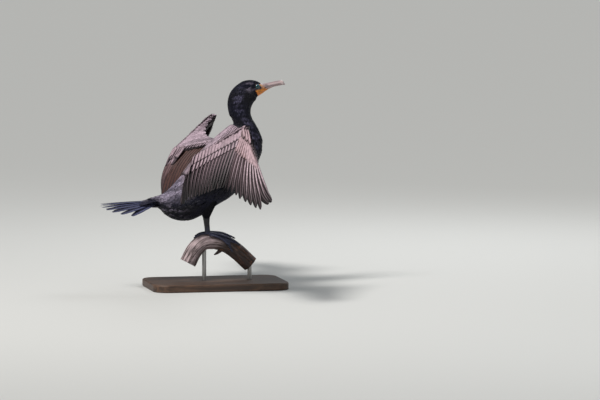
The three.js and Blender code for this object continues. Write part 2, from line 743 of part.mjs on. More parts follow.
// Head and bill are one form, parted by thin cuts along the mouth and where horn meets skin.
function headParts() {
  const far = [260, 250];
  const jawOutline = [GAPE, MOUTH_TIP, far, [POUCH_REAR[0], far[1]], POUCH_REAR];
  const below = (dx, dz) => jawOutline.map(([x, z]) => [x + dx, z + dz]);
  const whole = solid(bodyPart(HEAD_FROM + CUT, BODY.length - 1, 1.5));
  const socket = (grow) =>
    [-1, 1].map((side) =>
      solid(new THREE.SphereGeometry(EYE.radius + grow, 12, 8).translate(EYE.x, side * EYE.side, EYE.z)),
    );
  const lids = [-1, 1].map((side) =>
    solid(
      new THREE.TorusGeometry(EYE.radius * 0.82, EYE.lid, 5, 14)
        .rotateX(Math.PI / 2)
        .rotateZ(side * -0.22)
        .translate(EYE.x, side * (EYE.side + EYE.radius * 0.5), EYE.z),
    ),
  );
  const mouth = prism(below(0, 0));
  const jaw = whole.intersect(prism(below(GAP, -GAP - 0.2)));
  const billLine = BODY[BILL_FROM].back[0];
  const upper = whole.subtract(mouth);
  const slot = (side) =>
    solid(
      new THREE.SphereGeometry(1, 10, 6)
        .scale(NOSTRIL.length / 2, NOSTRIL.depth, NOSTRIL.height / 2)
        .translate(NOSTRIL.x, side * smooth(BODY.map((s) => s.half), BILL_FROM + 0.7), NOSTRIL.z),
    );
  const bill = upper.trimByPlane([1, 0, 0], billLine + GAP).subtract(slot(1)).subtract(slot(-1));
  const head = joined([upper.trimByPlane([-1, 0, 0], -billLine), ...lids]);
  const skinLine = V(SKIN_TO[0] - SKIN_FROM[0], 0, SKIN_TO[1] - SKIN_FROM[1]).normalize();
  const skinNormal = V(-skinLine.z, 0, skinLine.x);
  const offset = skinNormal.dot(V(SKIN_FROM[0], 0, SKIN_FROM[1]));
  return {
    head: largest(socket(GAP).reduce((a, b) => a.subtract(b), head)),
    bill_upper: largest(bill),
    bill_lower: largest(jaw.trimByPlane(skinNormal.toArray(), offset + GAP)),
    throat_pouch: largest(jaw.trimByPlane(skinNormal.clone().negate().toArray(), -offset)),
    eyes: socket(0),
  };
}

function base() {
  const { length, width, height, corner, chamfer } = BASE;
  const [x, y] = [length / 2 - chamfer, width / 2 - chamfer];
  const shape = new THREE.Shape()
    .moveTo(-x + corner, -y)
    .lineTo(x - corner, -y)
    .absarc(x - corner, -y + corner, corner, -Math.PI / 2, 0)
    .lineTo(x, y - corner)
    .absarc(x - corner, y - corner, corner, 0, Math.PI / 2)
    .lineTo(-x + corner, y)
    .absarc(-x + corner, y - corner, corner, Math.PI / 2, Math.PI)
    .lineTo(-x, -y + corner)
    .absarc(-x + corner, -y + corner, corner, Math.PI, 1.5 * Math.PI);
  return new THREE.ExtrudeGeometry(shape, {
    depth: height - 2 * chamfer,
    bevelSize: chamfer,
    bevelThickness: chamfer,
    bevelSegments: 1,
    curveSegments: 6,
  }).translate(0, 0, chamfer);
}

// A rod from the base to the underside of the branch, cut to the bark.
function rod(x) {
  const height = PERCH_TOP - BRANCH.radius - BASE.height - GAP;
  const stick = new THREE.CylinderGeometry(ROD.radius, ROD.radius, height, ROD.sides)
    .rotateX(Math.PI / 2)
    .translate(x, 0, BASE.height + GAP + height / 2);
  const bark = branch(GAP).translate([FEET_X, 0, PERCH_TOP]);
  const pieces = solid(stick).subtract(bark).decompose();
  return pieces.reduce((a, b) => (b.boundingBox().min[2] < a.boundingBox().min[2] ? b : a));
}

const FINISH = {
  plumage: { color: 0x14141a, roughness: 0.45, metalness: 0 },
  wing: { color: 0x5b4a46, roughness: 0.55, metalness: 0 },
  horn: { color: 0xc9aeb0, roughness: 0.4, metalness: 0 },
  bare_skin: { color: 0xe07a12, roughness: 0.5, metalness: 0 },
  eye: { color: 0x1f6f74, roughness: 0.1, metalness: 0 },
  leg: { color: 0x17171c, roughness: 0.5, metalness: 0 },
  bark: { color: 0x7d6a5e, roughness: 0.85, metalness: 0 },
  stand_wood: { color: 0x2a211c, roughness: 0.5, metalness: 0 },
  stand_metal: { color: 0x8c8a85, roughness: 0.35, metalness: 1 },
};

const model = new THREE.Group();
const bird = new THREE.Group();
bird.position.set(FEET_X, 0, PERCH_TOP);
model.add(bird);

function add(group, name, made, finish, side = 1) {
  const geometry = made.isBufferGeometry ? made : geometryOf(made);
  const mesh = new THREE.Mesh(geometry, new THREE.MeshStandardMaterial(FINISH[finish]));
  mesh.name = name;
  mesh.scale.y = side;
  group.add(mesh);
}

add(model, "stand_base", base(), "stand_wood");
ROD.positions.forEach((x, i) => add(model, `stand_rod_${i + 1}`, rod(x), "stand_metal"));
add(bird, "perch", perch(), "bark");

add(bird, "torso", bodyPart(0, NECK_FROM - CUT, 1.5), "plumage");
add(bird, "neck", bodyPart(NECK_FROM + CUT, HEAD_FROM - CUT, 1.5), "plumage");
const { eyes, ...face } = headParts();
add(bird, "head", face.head, "plumage");
add(bird, "bill_upper", face.bill_upper, "horn");
add(bird, "bill_lower", face.bill_lower, "horn");
add(bird, "throat_pouch", face.throat_pouch, "bare_skin");
add(bird, "tail", tail(), "plumage");

const grownTrunk = solid(bodyPart(0, NECK_FROM - CUT, 1.5, GAP));
const wingParts = Object.entries(wing(grownTrunk));
for (const [name, side] of [["left", 1], ["right", -1]]) {
  add(bird, `eye_${name}`, eyes[side > 0 ? 1 : 0], "eye");
  wingParts.forEach(([part, made]) => add(bird, `wing_${name}_${part}`, made, "wing", side));
  const thigh = largest(solid(limb(THIGH, side, 3)).subtract(grownTrunk));
  add(bird, `thigh_${name}`, thigh, "plumage");
  add(bird, `tarsus_${name}`, limb(TARSUS, side, 2), "leg");
  add(bird, `foot_${name}`, foot(side), "leg");
}

export default model;
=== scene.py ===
"""Life-size still model of a double-crested cormorant, drying its half-open wings on a cut branch.

Sizes inside the classes are millimetres in the bird's own frame: X the way it faces, Y its left, Z up, with
the origin on top of the branch under its ankles. Meshes are in metres in the row frame.
"""

import logging
import math
from dataclasses import dataclass, field, replace
from enum import Enum

import bmesh
import bpy
import numpy as np
from mathutils import Matrix, Vector, noise
from mathutils.kdtree import KDTree

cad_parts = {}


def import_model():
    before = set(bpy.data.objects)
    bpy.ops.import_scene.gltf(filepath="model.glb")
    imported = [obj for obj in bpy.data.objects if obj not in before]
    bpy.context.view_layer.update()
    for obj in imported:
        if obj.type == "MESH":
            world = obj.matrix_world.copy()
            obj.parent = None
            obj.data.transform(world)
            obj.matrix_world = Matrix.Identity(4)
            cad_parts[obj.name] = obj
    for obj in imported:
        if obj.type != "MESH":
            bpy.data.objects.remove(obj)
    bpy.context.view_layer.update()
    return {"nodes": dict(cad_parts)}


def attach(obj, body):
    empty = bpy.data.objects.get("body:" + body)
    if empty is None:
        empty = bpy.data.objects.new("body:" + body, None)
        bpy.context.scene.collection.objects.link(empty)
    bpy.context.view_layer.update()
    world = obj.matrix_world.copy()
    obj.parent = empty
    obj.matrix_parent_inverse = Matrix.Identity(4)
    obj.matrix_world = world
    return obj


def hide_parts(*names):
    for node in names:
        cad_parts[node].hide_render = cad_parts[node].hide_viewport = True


LOG = logging.getLogger("cormorant")
ORIGIN = np.array([-20.0, 0.0, 132.0])
UP = np.array([0.0, 0.0, 1.0])
LEFT = np.array([0.0, 1.0, 0.0])
SIDES = {1: "left", -1: "right"}
ROUNDNESS = 2.15
SEED = 7
LAST_STATION = 25
STEEP = 0.85
MM_PER_M = 1000
GAPE = (112, 341.5)
GAPE_RISE = 0.183
POUCH_SLOPE = 0.58
Array = np.ndarray
Material = bpy.types.Material
Mesh = bpy.types.Mesh
Socket = bpy.types.NodeSocket
Tree = bpy.types.NodeTree


class Face(Enum):
    """The two faces of a wing."""

    UPPER = 1
    UNDER = -1


# Numbers


def table(*rows: object) -> Array:
    """A field that holds a table of numbers, or one place."""
    return field(default_factory=lambda: np.array(rows, float))


def powered(value: Array, power: Array | float) -> Array:
    """A power that keeps the sign."""
    return np.sign(value) * np.abs(value) ** power


def ring_turns(sides: int, shift: float = 0.0) -> Array:
    """Angles of a ring's points, in radians."""
    return 2 * np.pi * (np.arange(sides) + shift) / sides


def gape(x: Array | float) -> Array | float:
    """Height of the mouth line."""
    return GAPE[1] + GAPE_RISE * (x - GAPE[0])


def seam(x: Array | float) -> Array | float:
    """Height where the throat pouch meets the horn of the lower bill."""
    return 342 + 4.5 * (x - 117) / 39


def catmull(table: Array, index: Array | float) -> Array:
    """Smooth curve through the rows of a table.

    Args:
        table: One row of numbers for each station.
        index: Fractional row numbers.

    Returns:
        One row for each index.
    """
    at = np.atleast_1d(np.asarray(index, float))
    last = len(table) - 1
    i = np.clip(np.floor(at).astype(int), 0, last - 1)
    t = (at - i)[:, None]
    a, b, c, d = (table[np.clip(i + k, 0, last)] for k in (-1, 0, 1, 2))
    return b + 0.5 * t * (c - a + t * (2 * a - 5 * b + 4 * c - d + t * (3 * (b - c) + d - a)))


def unit(vectors: Array) -> Array:
    """Vectors scaled to length one."""
    return vectors / np.maximum(np.linalg.norm(vectors, axis=-1, keepdims=True), 1e-9)


def rise(low: float, high: float, value: Array | float) -> Array:
    """Smooth step from 0 at low to 1 at high."""
    t = np.clip((np.asarray(value, float) - low) / (high - low), 0, 1)
    return t * t * (3 - 2 * t)


def bump(low: float, high: float, value: Array | float, soft: float) -> Array:
    """1 between low and high with soft ends, 0 outside."""
    return rise(low - soft, low + soft, value) * (1 - rise(high - soft, high + soft, value))


def waves(points: Array, size: float, shift: float = 0.0) -> Array:
    """Smooth uneven pattern between 0 and 1.

    Args:
        points: Places in millimetres.
        size: Rough size of its patches.
        shift: Any number, for another pattern.

    Returns:
        One value for each place.
    """
    x, y, z = (points / size).T
    total = np.sin(1.7 * x + 2.3 * y + shift) * np.cos(1.9 * z - 1.1 * x)
    total = total + np.sin(2.9 * z + 1.3 * y + 2 * shift)
    return 0.5 + 0.25 * (total + 0.6 * np.sin(4.1 * x - 3.7 * z + shift) * np.cos(3.3 * y + x))


def blend(first: Array, second: Array, share: Array) -> Array:
    """Colours mixed by a share for each row."""
    weight = np.clip(np.asarray(share, float), 0, 1)[..., None]
    return np.asarray(first) * (1 - weight) + np.asarray(second) * weight


# Shaders


@dataclass
class Nodes:
    """A node tree that is filled step by step."""

    tree: Tree

    def put(self, socket: Socket, value: object) -> None:
        """Links a socket to what feeds it, or sets its value."""
        if isinstance(value, Socket):
            self.tree.links.new(value, socket)
        else:
            socket.default_value = value

    def add(self, kind: str, inputs: dict | None = None, **settings: object) -> bpy.types.Node:
        """Adds a node.

        Args:
            kind: Node type without its prefix.
            inputs: Socket name or number, and a value or the socket that feeds it.
            settings: Properties of the node.

        Returns:
            The new node.
        """
        node = self.tree.nodes.new("ShaderNode" + kind)
        for name, value in settings.items():
            setattr(node, name, value)
        for name, value in (inputs or {}).items():
            self.put(node.inputs[name], value)
        return node

    def math(self, operation: str, *values: object) -> Socket:
        """Output of a math node with the given inputs."""
        return self.add("Math", dict(enumerate(values)), operation=operation).outputs[0]

    def vector(self, operation: str, first: object, second: object) -> Socket:
        """Output of a vector node with two inputs."""
        return self.add("VectorMath", {0: first, 1: second}, operation=operation).outputs[0]

    def scaled(self, colour: Socket, share: Socket) -> Socket:
        """A colour times a number."""
        return self.add("VectorMath", {0: colour, "Scale": share}, operation="SCALE").outputs[0]

    def ramp(self, value: Socket, low: float, high: float) -> Socket:
        """A value spread from 0 at low to 1 at high, smoothly."""
        inputs = {"Value": value, "From Min": low, "From Max": high}
        return self.add("MapRange", inputs, interpolation_type="SMOOTHSTEP").outputs["Result"]

    def spread(self, value: Socket, least: object, most: object) -> Socket:
        """The usual range of a noise, spread over another range."""
        inputs = {"Value": value, "From Min": 0.3, "From Max": 0.7, "To Min": least, "To Max": most}
        return self.add("MapRange", inputs).outputs["Result"]

    def mix(self, share: object, first: object, second: object) -> Socket:
        """Output of a colour mix."""
        return self.add("Mix", {0: share, 6: first, 7: second}, data_type="RGBA").outputs[2]

    def group(self, tree: Tree, **inputs: object) -> bpy.types.NodeOutputs:
        """Outputs of a shared group that gets its own values."""
        return self.add("Group", inputs, node_tree=tree).outputs


@dataclass(frozen=True)
class SharedGroups:
    """The effects that several finishes use."""

    def start(self, name: str, inputs: dict[str, str], outputs: dict[str, str]) -> tuple:
        """Begins a group.

        Args:
            name: Name of the group.
            inputs: Input names and their kinds.
            outputs: Output names and their kinds.

        Returns:
            The node helper, the sockets that the group is given and those that it feeds.
        """
        tree = bpy.data.node_groups.new(name, "ShaderNodeTree")
        for way, sockets in (("INPUT", inputs), ("OUTPUT", outputs)):
            for label, kind in sockets.items():
                tree.interface.new_socket(label, in_out=way, socket_type="NodeSocket" + kind)
        given, made = (tree.nodes.new("NodeGroup" + way) for way in ("Input", "Output"))
        return Nodes(tree), given.outputs, made.inputs

    def barbs(self) -> Tree:
        """Fine slanting lines on both sides of a feather's shaft, and the shaft itself."""
        outputs = {"Height": "Float", "Shaft": "Float", "Line": "Float"}
        nodes, given, made = self.start("barbs", {"Vane": "Vector", "Count": "Float"}, outputs)
        parts = nodes.add("SeparateXYZ", {0: given["Vane"]}).outputs
        side = nodes.math("ABSOLUTE", nodes.math("SUBTRACT", parts[0], 0.5))
        slant = nodes.math("ADD", parts[1], nodes.math("MULTIPLY", side, -0.22))
        line = nodes.math("SINE", nodes.math("MULTIPLY", slant, given["Count"]))
        shaft = nodes.math("SUBTRACT", 1.0, nodes.ramp(side, 0.015, 0.04))
        height = nodes.math("ADD", nodes.math("MULTIPLY", line, 0.5), nodes.math("MULTIPLY", shaft, 2.0))
        nodes.put(made["Height"], height)
        nodes.put(made["Shaft"], shaft)
        nodes.put(made["Line"], nodes.math("MULTIPLY_ADD", line, 0.5, 0.5))
        return nodes.tree

    def mottle(self) -> Tree:
        """Uneven lightness over the surface."""
        inputs = {"Place": "Vector", "Scale": "Float", "Dark": "Float", "Light": "Float", "Color": "Color"}
        nodes, given, made = self.start("mottle", inputs, {"Color": "Color", "Value": "Float"})
        noised = {"Vector": given["Place"], "Scale": given["Scale"], "Detail": 5.0}
        grain = nodes.add("TexNoise", noised).outputs["Fac"]
        lightness = nodes.spread(grain, given["Dark"], given["Light"])
        nodes.put(made["Color"], nodes.scaled(given["Color"], lightness))
        nodes.put(made["Value"], grain)
        return nodes.tree

    def cells(self) -> Tree:
        """Small raised plates with grooves between them, as on scaly or leathery skin."""
        inputs = {"Place": "Vector", "Scale": "Float"}
        nodes, given, made = self.start("cells", inputs, {"Height": "Float", "Groove": "Float"})
        wobble = nodes.add("TexNoise", {"Vector": given["Place"], "Scale": 300.0}).outputs["Color"]
        place = nodes.vector("ADD", given["Place"], nodes.vector("MULTIPLY", wobble, (0.0012,) * 3))
        cell = nodes.add("TexVoronoi", {"Vector": place, "Scale": given["Scale"]})
        cell.feature = "DISTANCE_TO_EDGE"
        raised = nodes.ramp(cell.outputs["Distance"], 0.0, 0.22)
        nodes.put(made["Height"], raised)
        nodes.put(made["Groove"], nodes.math("SUBTRACT", 1.0, raised))
        return nodes.tree

    def streaks(self) -> Tree:
        """Long grain along one direction, as in wood, bark and horn."""
        inputs = {"Place": "Vector", "Stretch": "Vector", "Scale": "Float"}
        nodes, given, made = self.start("streaks", inputs, {"Height": "Float", "Crack": "Float"})
        place = nodes.vector("MULTIPLY", given["Place"], given["Stretch"])
        noised = {"Vector": place, "Scale": given["Scale"], "Detail": 6.0, "Distortion": 0.6}
        grain = nodes.add("TexNoise", noised).outputs["Fac"]
        split = nodes.math("ABSOLUTE", nodes.math("SUBTRACT", grain, 0.5))
        nodes.put(made["Height"], grain)
        nodes.put(made["Crack"], nodes.math("SUBTRACT", 1.0, nodes.ramp(split, 0.0, 0.045)))
        return nodes.tree


@dataclass(frozen=True)
class Gloss:
    """The plain numbers of a finish, set on the shader's own sockets."""

    ior: float = 1.5
    coat_rough: float = 0.2
    sheen: float = 0.0
    sheen_tint: tuple = (1.0, 1.0, 1.0, 1.0)
    subsurface: float = 0.0
    subsurface_radius: tuple = (0.004, 0.0015, 0.0008)


class Finish(Nodes):
    """One material with its shader and helpers."""

    def __init__(self, name: str, gloss: Gloss = Gloss()) -> None:
        """Starts the material.

        Args:
            name: Name of the finish.
            gloss: Its plain numbers.
        """
        self.material = bpy.data.materials.new(name)
        self.material.use_nodes = True
        super().__init__(self.material.node_tree)
        self.shader = self.tree.nodes["Principled BSDF"].inputs
        self.place = self.add("TexCoord").outputs["Object"]
        values = {"IOR": gloss.ior, "Coat Roughness": gloss.coat_rough, "Sheen Weight": gloss.sheen}
        values |= {"Sheen Tint": gloss.sheen_tint, "Subsurface Weight": gloss.subsurface}
        values |= {"Subsurface Radius": gloss.subsurface_radius}
        for socket, value in values.items():
            self.shader[socket].default_value = value

    def relief(self, height: Socket, distance: float, strength: float = 1.0) -> None:
        """Bumps the surface by a height, in metres of distance."""
        made = self.add("Bump", {"Height": height, "Distance": distance, "Strength": strength})
        self.put(self.shader["Normal"], made.outputs["Normal"])

    def done(self, colour: object, rough: object, coat: float = 0.0) -> Material:
        """The material, fed with its colour, roughness and clear coat."""
        for socket, value in (("Base Color", colour), ("Roughness", rough), ("Coat Weight", coat)):
            self.put(self.shader[socket], value)
        return self.material

    def tone(self) -> Socket:
        """The colour that a piece holds at each of its points."""
        return self.add("Attribute", attribute_name="Tone").outputs["Color"]

    def vane(self) -> Socket:
        """Place on a feather: across it and along it."""
        return self.add("UVMap", uv_map="Vane").outputs["UV"]


@dataclass
class Palette:
    """All finishes of the model."""

    barbs: Tree = field(init=False)
    mottle: Tree = field(init=False)
    cells: Tree = field(init=False)
    streaks: Tree = field(init=False)

    def __post_init__(self) -> None:
        """Builds the shared groups."""
        shared = SharedGroups()
        self.barbs, self.mottle = shared.barbs(), shared.mottle()
        self.cells, self.streaks = shared.cells(), shared.streaks()

    def mottled(self, made: Finish, scale: float, dark: float, light: float) -> bpy.types.NodeOutputs:
        """The piece's own colour with uneven lightness."""
        return made.group(
            self.mottle, Place=made.place, Scale=scale, Dark=dark, Light=light, Color=made.tone()
        )

    def grain(self, made: Finish, scale: float, stretch: tuple) -> bpy.types.NodeOutputs:
        """Long grain through the whole piece."""
        return made.group(self.streaks, Place=made.place, Stretch=stretch, Scale=scale)

    def skin(self) -> Material:
        """Down under the body feathers."""
        made = Finish("down", Gloss(ior=1.4, sheen=0.03, sheen_tint=(0.5, 0.5, 0.8, 1)))
        soft = self.mottled(made, 420.0, 0.6, 1.2)
        made.relief(soft["Value"], 0.0006)
        return made.done(soft["Color"], 0.6)

    def feather(
        self, name: str, count: float, rough: float, gloss: Gloss, shaft: tuple, shaft_share: float
    ) -> Material:
        """A feather finish.

        Args:
            name: Name of the finish.
            count: Barbs along a feather, in radians.
            rough: Roughness between the barbs.
            gloss: Plain numbers.
            shaft: Colour of the shaft.
            shaft_share: How strongly the shaft shows.

        Returns:
            The material.
        """
        made = Finish(name, gloss)
        lines = made.group(self.barbs, Vane=made.vane(), Count=count)
        soft = self.mottled(made, 160.0, 0.72, 1.2)
        barbed = made.scaled(soft["Color"], made.math("MULTIPLY_ADD", lines["Line"], 0.22, 0.84))
        colour = made.mix(made.math("MULTIPLY", lines["Shaft"], shaft_share), barbed, shaft)
        made.relief(lines["Height"], 0.00008, 0.6)
        return made.done(colour, made.spread(soft["Value"], rough - 0.08, rough + 0.08))

    def horn(self) -> Material:
        """Pinkish bill horn with a dark ridge and fine growth lines."""
        made = Finish("bill_horn", Gloss(subsurface=0.05, coat_rough=0.25))
        grain = self.grain(made, 420.0, (0.12, 1.0, 1.0))["Height"]
        streak = made.mix(made.ramp(grain, 0.45, 0.7), made.tone(), (0.10, 0.07, 0.075, 1))
        made.relief(grain, 0.0003)
        rough = made.math("MULTIPLY_ADD", grain, 0.25, 0.22)
        return made.done(made.mix(0.35, made.tone(), streak), rough, 0.15)

    def bare(self) -> Material:
        """Bare skin of throat and face, finely pebbled."""
        made = Finish("bare_skin", Gloss(subsurface=0.12, coat_rough=0.3))
        plates = made.group(self.cells, Place=made.place, Scale=950.0)
        folds = self.grain(made, 260.0, (0.35, 0.6, 1.0))["Height"]
        soft = self.mottled(made, 500.0, 0.75, 1.2)["Color"]
        colour = made.mix(made.math("MULTIPLY", plates["Groove"], 0.2), soft, (0.16, 0.045, 0.01, 1))
        made.relief(made.math("ADD", plates["Height"], made.math("MULTIPLY", folds, 3.0)), 0.00025)
        return made.done(colour, 0.42, 0.1)

    def eye(self, centre: tuple[float, float]) -> Material:
        """Wet eye: black pupil, blue-green iris with fine rays, dark rim.

        Args:
            centre: X and Z of the eye's middle, in metres.

        Returns:
            The material.
        """
        made = Finish("eye_iris", Gloss(ior=1.45, coat_rough=0.02))
        parts = made.add("SeparateXYZ", {0: made.place}).outputs
        x, z = (made.math("SUBTRACT", parts[axis], middle) for axis, middle in zip((0, 2), centre))
        squares = made.math("ADD", made.math("MULTIPLY", x, x), made.math("MULTIPLY", z, z))
        radius = made.math("SQRT", squares)
        turn = made.math("MULTIPLY", made.math("ARCTAN2", z, x), 34.0)
        ray = made.math("MULTIPLY_ADD", made.math("SINE", turn), 0.5, 0.5)
        iris = made.mix(ray, (0.006, 0.048, 0.058, 1), (0.014, 0.115, 0.125, 1))
        inner = made.mix(made.ramp(radius, 0.00225, 0.0025), (0.002, 0.002, 0.002, 1), iris)
        outer = made.mix(made.ramp(radius, 0.0041, 0.0046), inner, (0.008, 0.02, 0.025, 1))
        return made.done(outer, 0.08, 0.6)

    def leg(self) -> Material:
        """Blue-black scaly skin of shank, toes and webs."""
        made = Finish("foot_skin", Gloss(coat_rough=0.3))
        plates = made.group(self.cells, Place=made.place, Scale=520.0)
        soft = self.mottled(made, 260.0, 0.5, 1.5)["Color"]
        colour = made.mix(made.math("MULTIPLY", plates["Groove"], 0.6), soft, (0.006, 0.006, 0.01, 1))
        made.relief(plates["Height"], 0.0004)
        return made.done(colour, made.math("MULTIPLY_ADD", plates["Groove"], 0.3, 0.36), 0.12)

    def claw(self) -> Material:
        """Black horn of the claws."""
        made = Finish("claw_horn")
        grain = self.grain(made, 700.0, (0.2, 1.0, 1.0))["Height"]
        made.relief(grain, 0.0002)
        return made.done(made.mix(grain, (0.006, 0.006, 0.008, 1), (0.05, 0.045, 0.05, 1)), 0.3)

    def bark(self) -> Material:
        """Weathered driftwood: grey-pink, split along the grain, darker and orange in the splits."""
        made = Finish("driftwood")
        parts = made.add("SeparateXYZ", {0: made.vane()}).outputs
        flat = made.add("CombineXYZ", {0: parts[0], 1: made.math("MULTIPLY", parts[1], 0.07)}).outputs[0]
        grain = made.group(self.streaks, Place=flat, Stretch=(1.0, 1.0, 1.0), Scale=12.0)
        fine = made.group(self.streaks, Place=flat, Stretch=(1.0, 0.8, 1.0), Scale=48.0)["Height"]
        soft = self.mottled(made, 60.0, 0.6, 1.35)["Color"]
        pale = made.mix(made.math("MULTIPLY", fine, 0.2), soft, (0.42, 0.33, 0.33, 1))
        warm = made.mix(made.math("MULTIPLY", grain["Crack"], 0.8), pale, (0.055, 0.03, 0.02, 1))
        deep = made.math("ADD", grain["Height"], made.math("MULTIPLY", grain["Crack"], -1.2))
        made.relief(made.math("ADD", deep, made.math("MULTIPLY", fine, 0.6)), 0.0016)
        return made.done(warm, made.math("MULTIPLY_ADD", fine, 0.25, 0.6))

    def cut_wood(self) -> Material:
        """Sawn end of the branch with its growth rings."""
        made = Finish("sawn_wood")
        waved = made.add("TexWave", {"Vector": made.vane(), "Scale": 7.0, "Distortion": 1.5, "Detail": 3.0})
        waved.wave_type = "RINGS"
        waved.rings_direction = "SPHERICAL"
        rings = waved.outputs["Fac"]
        made.relief(rings, 0.0003)
        colour = made.mix(rings, (0.30, 0.20, 0.14, 1), (0.16, 0.095, 0.06, 1))
        return made.done(colour, made.math("MULTIPLY_ADD", rings, 0.2, 0.6))

    def base_wood(self) -> Material:
        """Dark waxed hardwood of the base."""
        made = Finish("waxed_wood", Gloss(coat_rough=0.25))
        grain = self.grain(made, 95.0, (0.09, 1.0, 0.6))["Height"]
        pores = self.grain(made, 420.0, (0.05, 1.0, 0.8))
        tint = made.mix(made.ramp(grain, 0.35, 0.68), (0.030, 0.015, 0.009, 1), (0.105, 0.054, 0.030, 1))
        dark = made.mix(made.math("MULTIPLY", pores["Crack"], 0.5), tint, (0.008, 0.005, 0.004, 1))
        made.relief(pores["Height"], 0.0002)
        return made.done(dark, made.math("MULTIPLY_ADD", grain, 0.22, 0.42), 0.04)

    def metal(self) -> Material:
        """Brushed steel of the rods."""
        made = Finish("brushed_steel")
        grain = self.grain(made, 1400.0, (1.0, 1.0, 0.03))["Height"]
        made.put(made.shader["Metallic"], 1.0)
        made.relief(grain, 0.00005)
        colour = made.mix(grain, (0.30, 0.295, 0.285, 1), (0.44, 0.43, 0.42, 1))
        return made.done(colour, made.math("MULTIPLY_ADD", grain, 0.25, 0.22))

    def floor(self) -> Material:
        """Plain pale floor."""
        return Finish("studio_floor").done((0.56, 0.565, 0.55, 1), 0.8)


# Meshes


def placed(points: Array) -> Array:
    """Bird-frame millimetres as row-frame metres."""
    return (np.asarray(points, float) + ORIGIN) / MM_PER_M


def linked(name: str, data: object) -> bpy.types.Object:
    """A new object in the scene."""
    made = bpy.data.objects.new(name, data)
    bpy.context.scene.collection.objects.link(made)
    return made


def meshed(bm: bmesh.types.BMesh, smooth: bool = True) -> Mesh:
    """A bmesh made a mesh, and freed."""
    for item in bm.faces:
        item.smooth = smooth
    mesh = bpy.data.meshes.new("mesh")
    bm.to_mesh(mesh)
    bm.free()
    return mesh


def joined(meshes: list[Mesh]) -> Mesh:
    """Several meshes as one."""
    bm = bmesh.new()
    for mesh in meshes:
        bm.from_mesh(mesh)
        bpy.data.meshes.remove(mesh)
    return meshed(bm)


def finished(name: str, mesh: Mesh, material: Material, replaced: tuple = ()) -> None:
    """Puts a mesh into the scene as a piece of the model.

    Args:
        name: Name of the piece.
        mesh: Its mesh, in metres.
        material: Its finish.
        replaced: CAD nodes it stands for.
    """
    mesh.materials.append(material)
    mesh.name = name
    piece = linked(name, mesh)
    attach(piece, "root")
    if replaced:
        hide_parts(*replaced)
    LOG.info("%s: %d faces", name, len(mesh.polygons))


def paint(mesh: Mesh, colours: Array) -> None:
    """Stores a colour at every point of a mesh."""
    layer = mesh.color_attributes.new("Tone", "FLOAT_COLOR", "POINT")
    full = np.ones((len(mesh.vertices), 4), np.float32)
    full[:, :3] = colours
    layer.data.foreach_set("color", full.ravel())


def points_of(mesh: Mesh) -> Array:
    """A mesh's points in bird-frame millimetres."""
    flat = np.zeros(len(mesh.vertices) * 3, np.float32)
    mesh.vertices.foreach_get("co", flat)
    return flat.reshape(-1, 3) * MM_PER_M - ORIGIN


def corners_of(mesh: Mesh) -> Array:
    """The point at each face corner of a mesh."""
    found = np.zeros(len(mesh.loops), np.int32)
    mesh.loops.foreach_get("vertex_index", found)
    return found


def add_uv(mesh: Mesh, name: str, corners: Array) -> None:
    """Adds a UV map with one pair for each face corner."""
    layer = mesh.uv_layers.new(name=name)
    layer.uv.foreach_set("vector", np.asarray(corners, np.float32).ravel())


class Loft:
    """A tube of rings, grown ring by ring from a circle."""

    weld_gap: float = 1e-6

    def __init__(self, rings: list[Array]) -> None:
        """Extrudes the rings.

        Args:
            rings: One array of places for each ring, all of one length.
        """
        self.bm = bmesh.new()
        sides = len(rings[0])
        made = bmesh.ops.create_circle(self.bm, segments=sides, radius=1.0)
        current = made["verts"]
        edges = list(self.bm.edges)
        self.bm.loops.layers.uv.new("Vane")
        self.first = edges
        for vert, place in zip(current, placed(rings[0])):
            vert.co = place
        for ring in rings[1:]:
            grown = bmesh.ops.extrude_edge_only(self.bm, edges=edges)["geom"]
            fresh = {item for item in grown if isinstance(item, bmesh.types.BMVert)}
            step = [next(e.other_vert(v) for e in v.link_edges if e.other_vert(v) in fresh) for v in current]
            kept = [item for item in grown if isinstance(item, bmesh.types.BMEdge)]
            edges = [item for item in kept if all(v in fresh for v in item.verts)]
            for vert, place in zip(step, placed(ring)):
                vert.co = place
            current = step
        self.last = edges

    def cap(self, material: int = 0) -> "Loft":
        """Closes both ends with a fan of faces round a middle point."""
        for edges in (self.first, self.last):
            face = bmesh.ops.contextual_create(self.bm, geom=edges)["faces"]
            for item in bmesh.ops.poke(self.bm, faces=face)["faces"]:
                item.material_index = material
        return self

    def weld(self) -> "Loft":
        """Joins the last ring to the first, where the line is closed."""
        bmesh.ops.remove_doubles(self.bm, verts=self.bm.verts, dist=self.weld_gap)
        return self

    def mesh(self) -> Mesh:
        """The finished mesh, with its faces looking out."""
        bmesh.ops.recalc_face_normals(self.bm, faces=self.bm.faces)
        return meshed(self.bm)


def tube(points: Array, radii: Array, sides: int, flat: float = 1.0, closed: bool = False) -> list[Array]:
    """Rings round a line of points.

    Args:
        points: Places along the middle.
        radii: A radius at each.
        sides: Points of a ring.
        flat: Height of a ring as a share of its width.
        closed: Whether the line runs back into its first point.

    Returns:
        The rings.
    """
    steps = np.roll(points, -1, 0) - np.roll(points, 1, 0) if closed else np.gradient(points, axis=0)
    angle = ring_turns(sides)
    rings = []
    for place, way, radius in zip(points, unit(steps), radii):
        steep = abs(way[2]) >= STEEP
        across = unit(np.cross(way, LEFT if closed or steep else UP))
        other = np.cross(across, way)
        circle = np.cos(angle)[:, None] * across + flat * np.sin(angle)[:, None] * other
        rings.append(place + radius * circle)
    return rings + rings[:1] if closed else rings


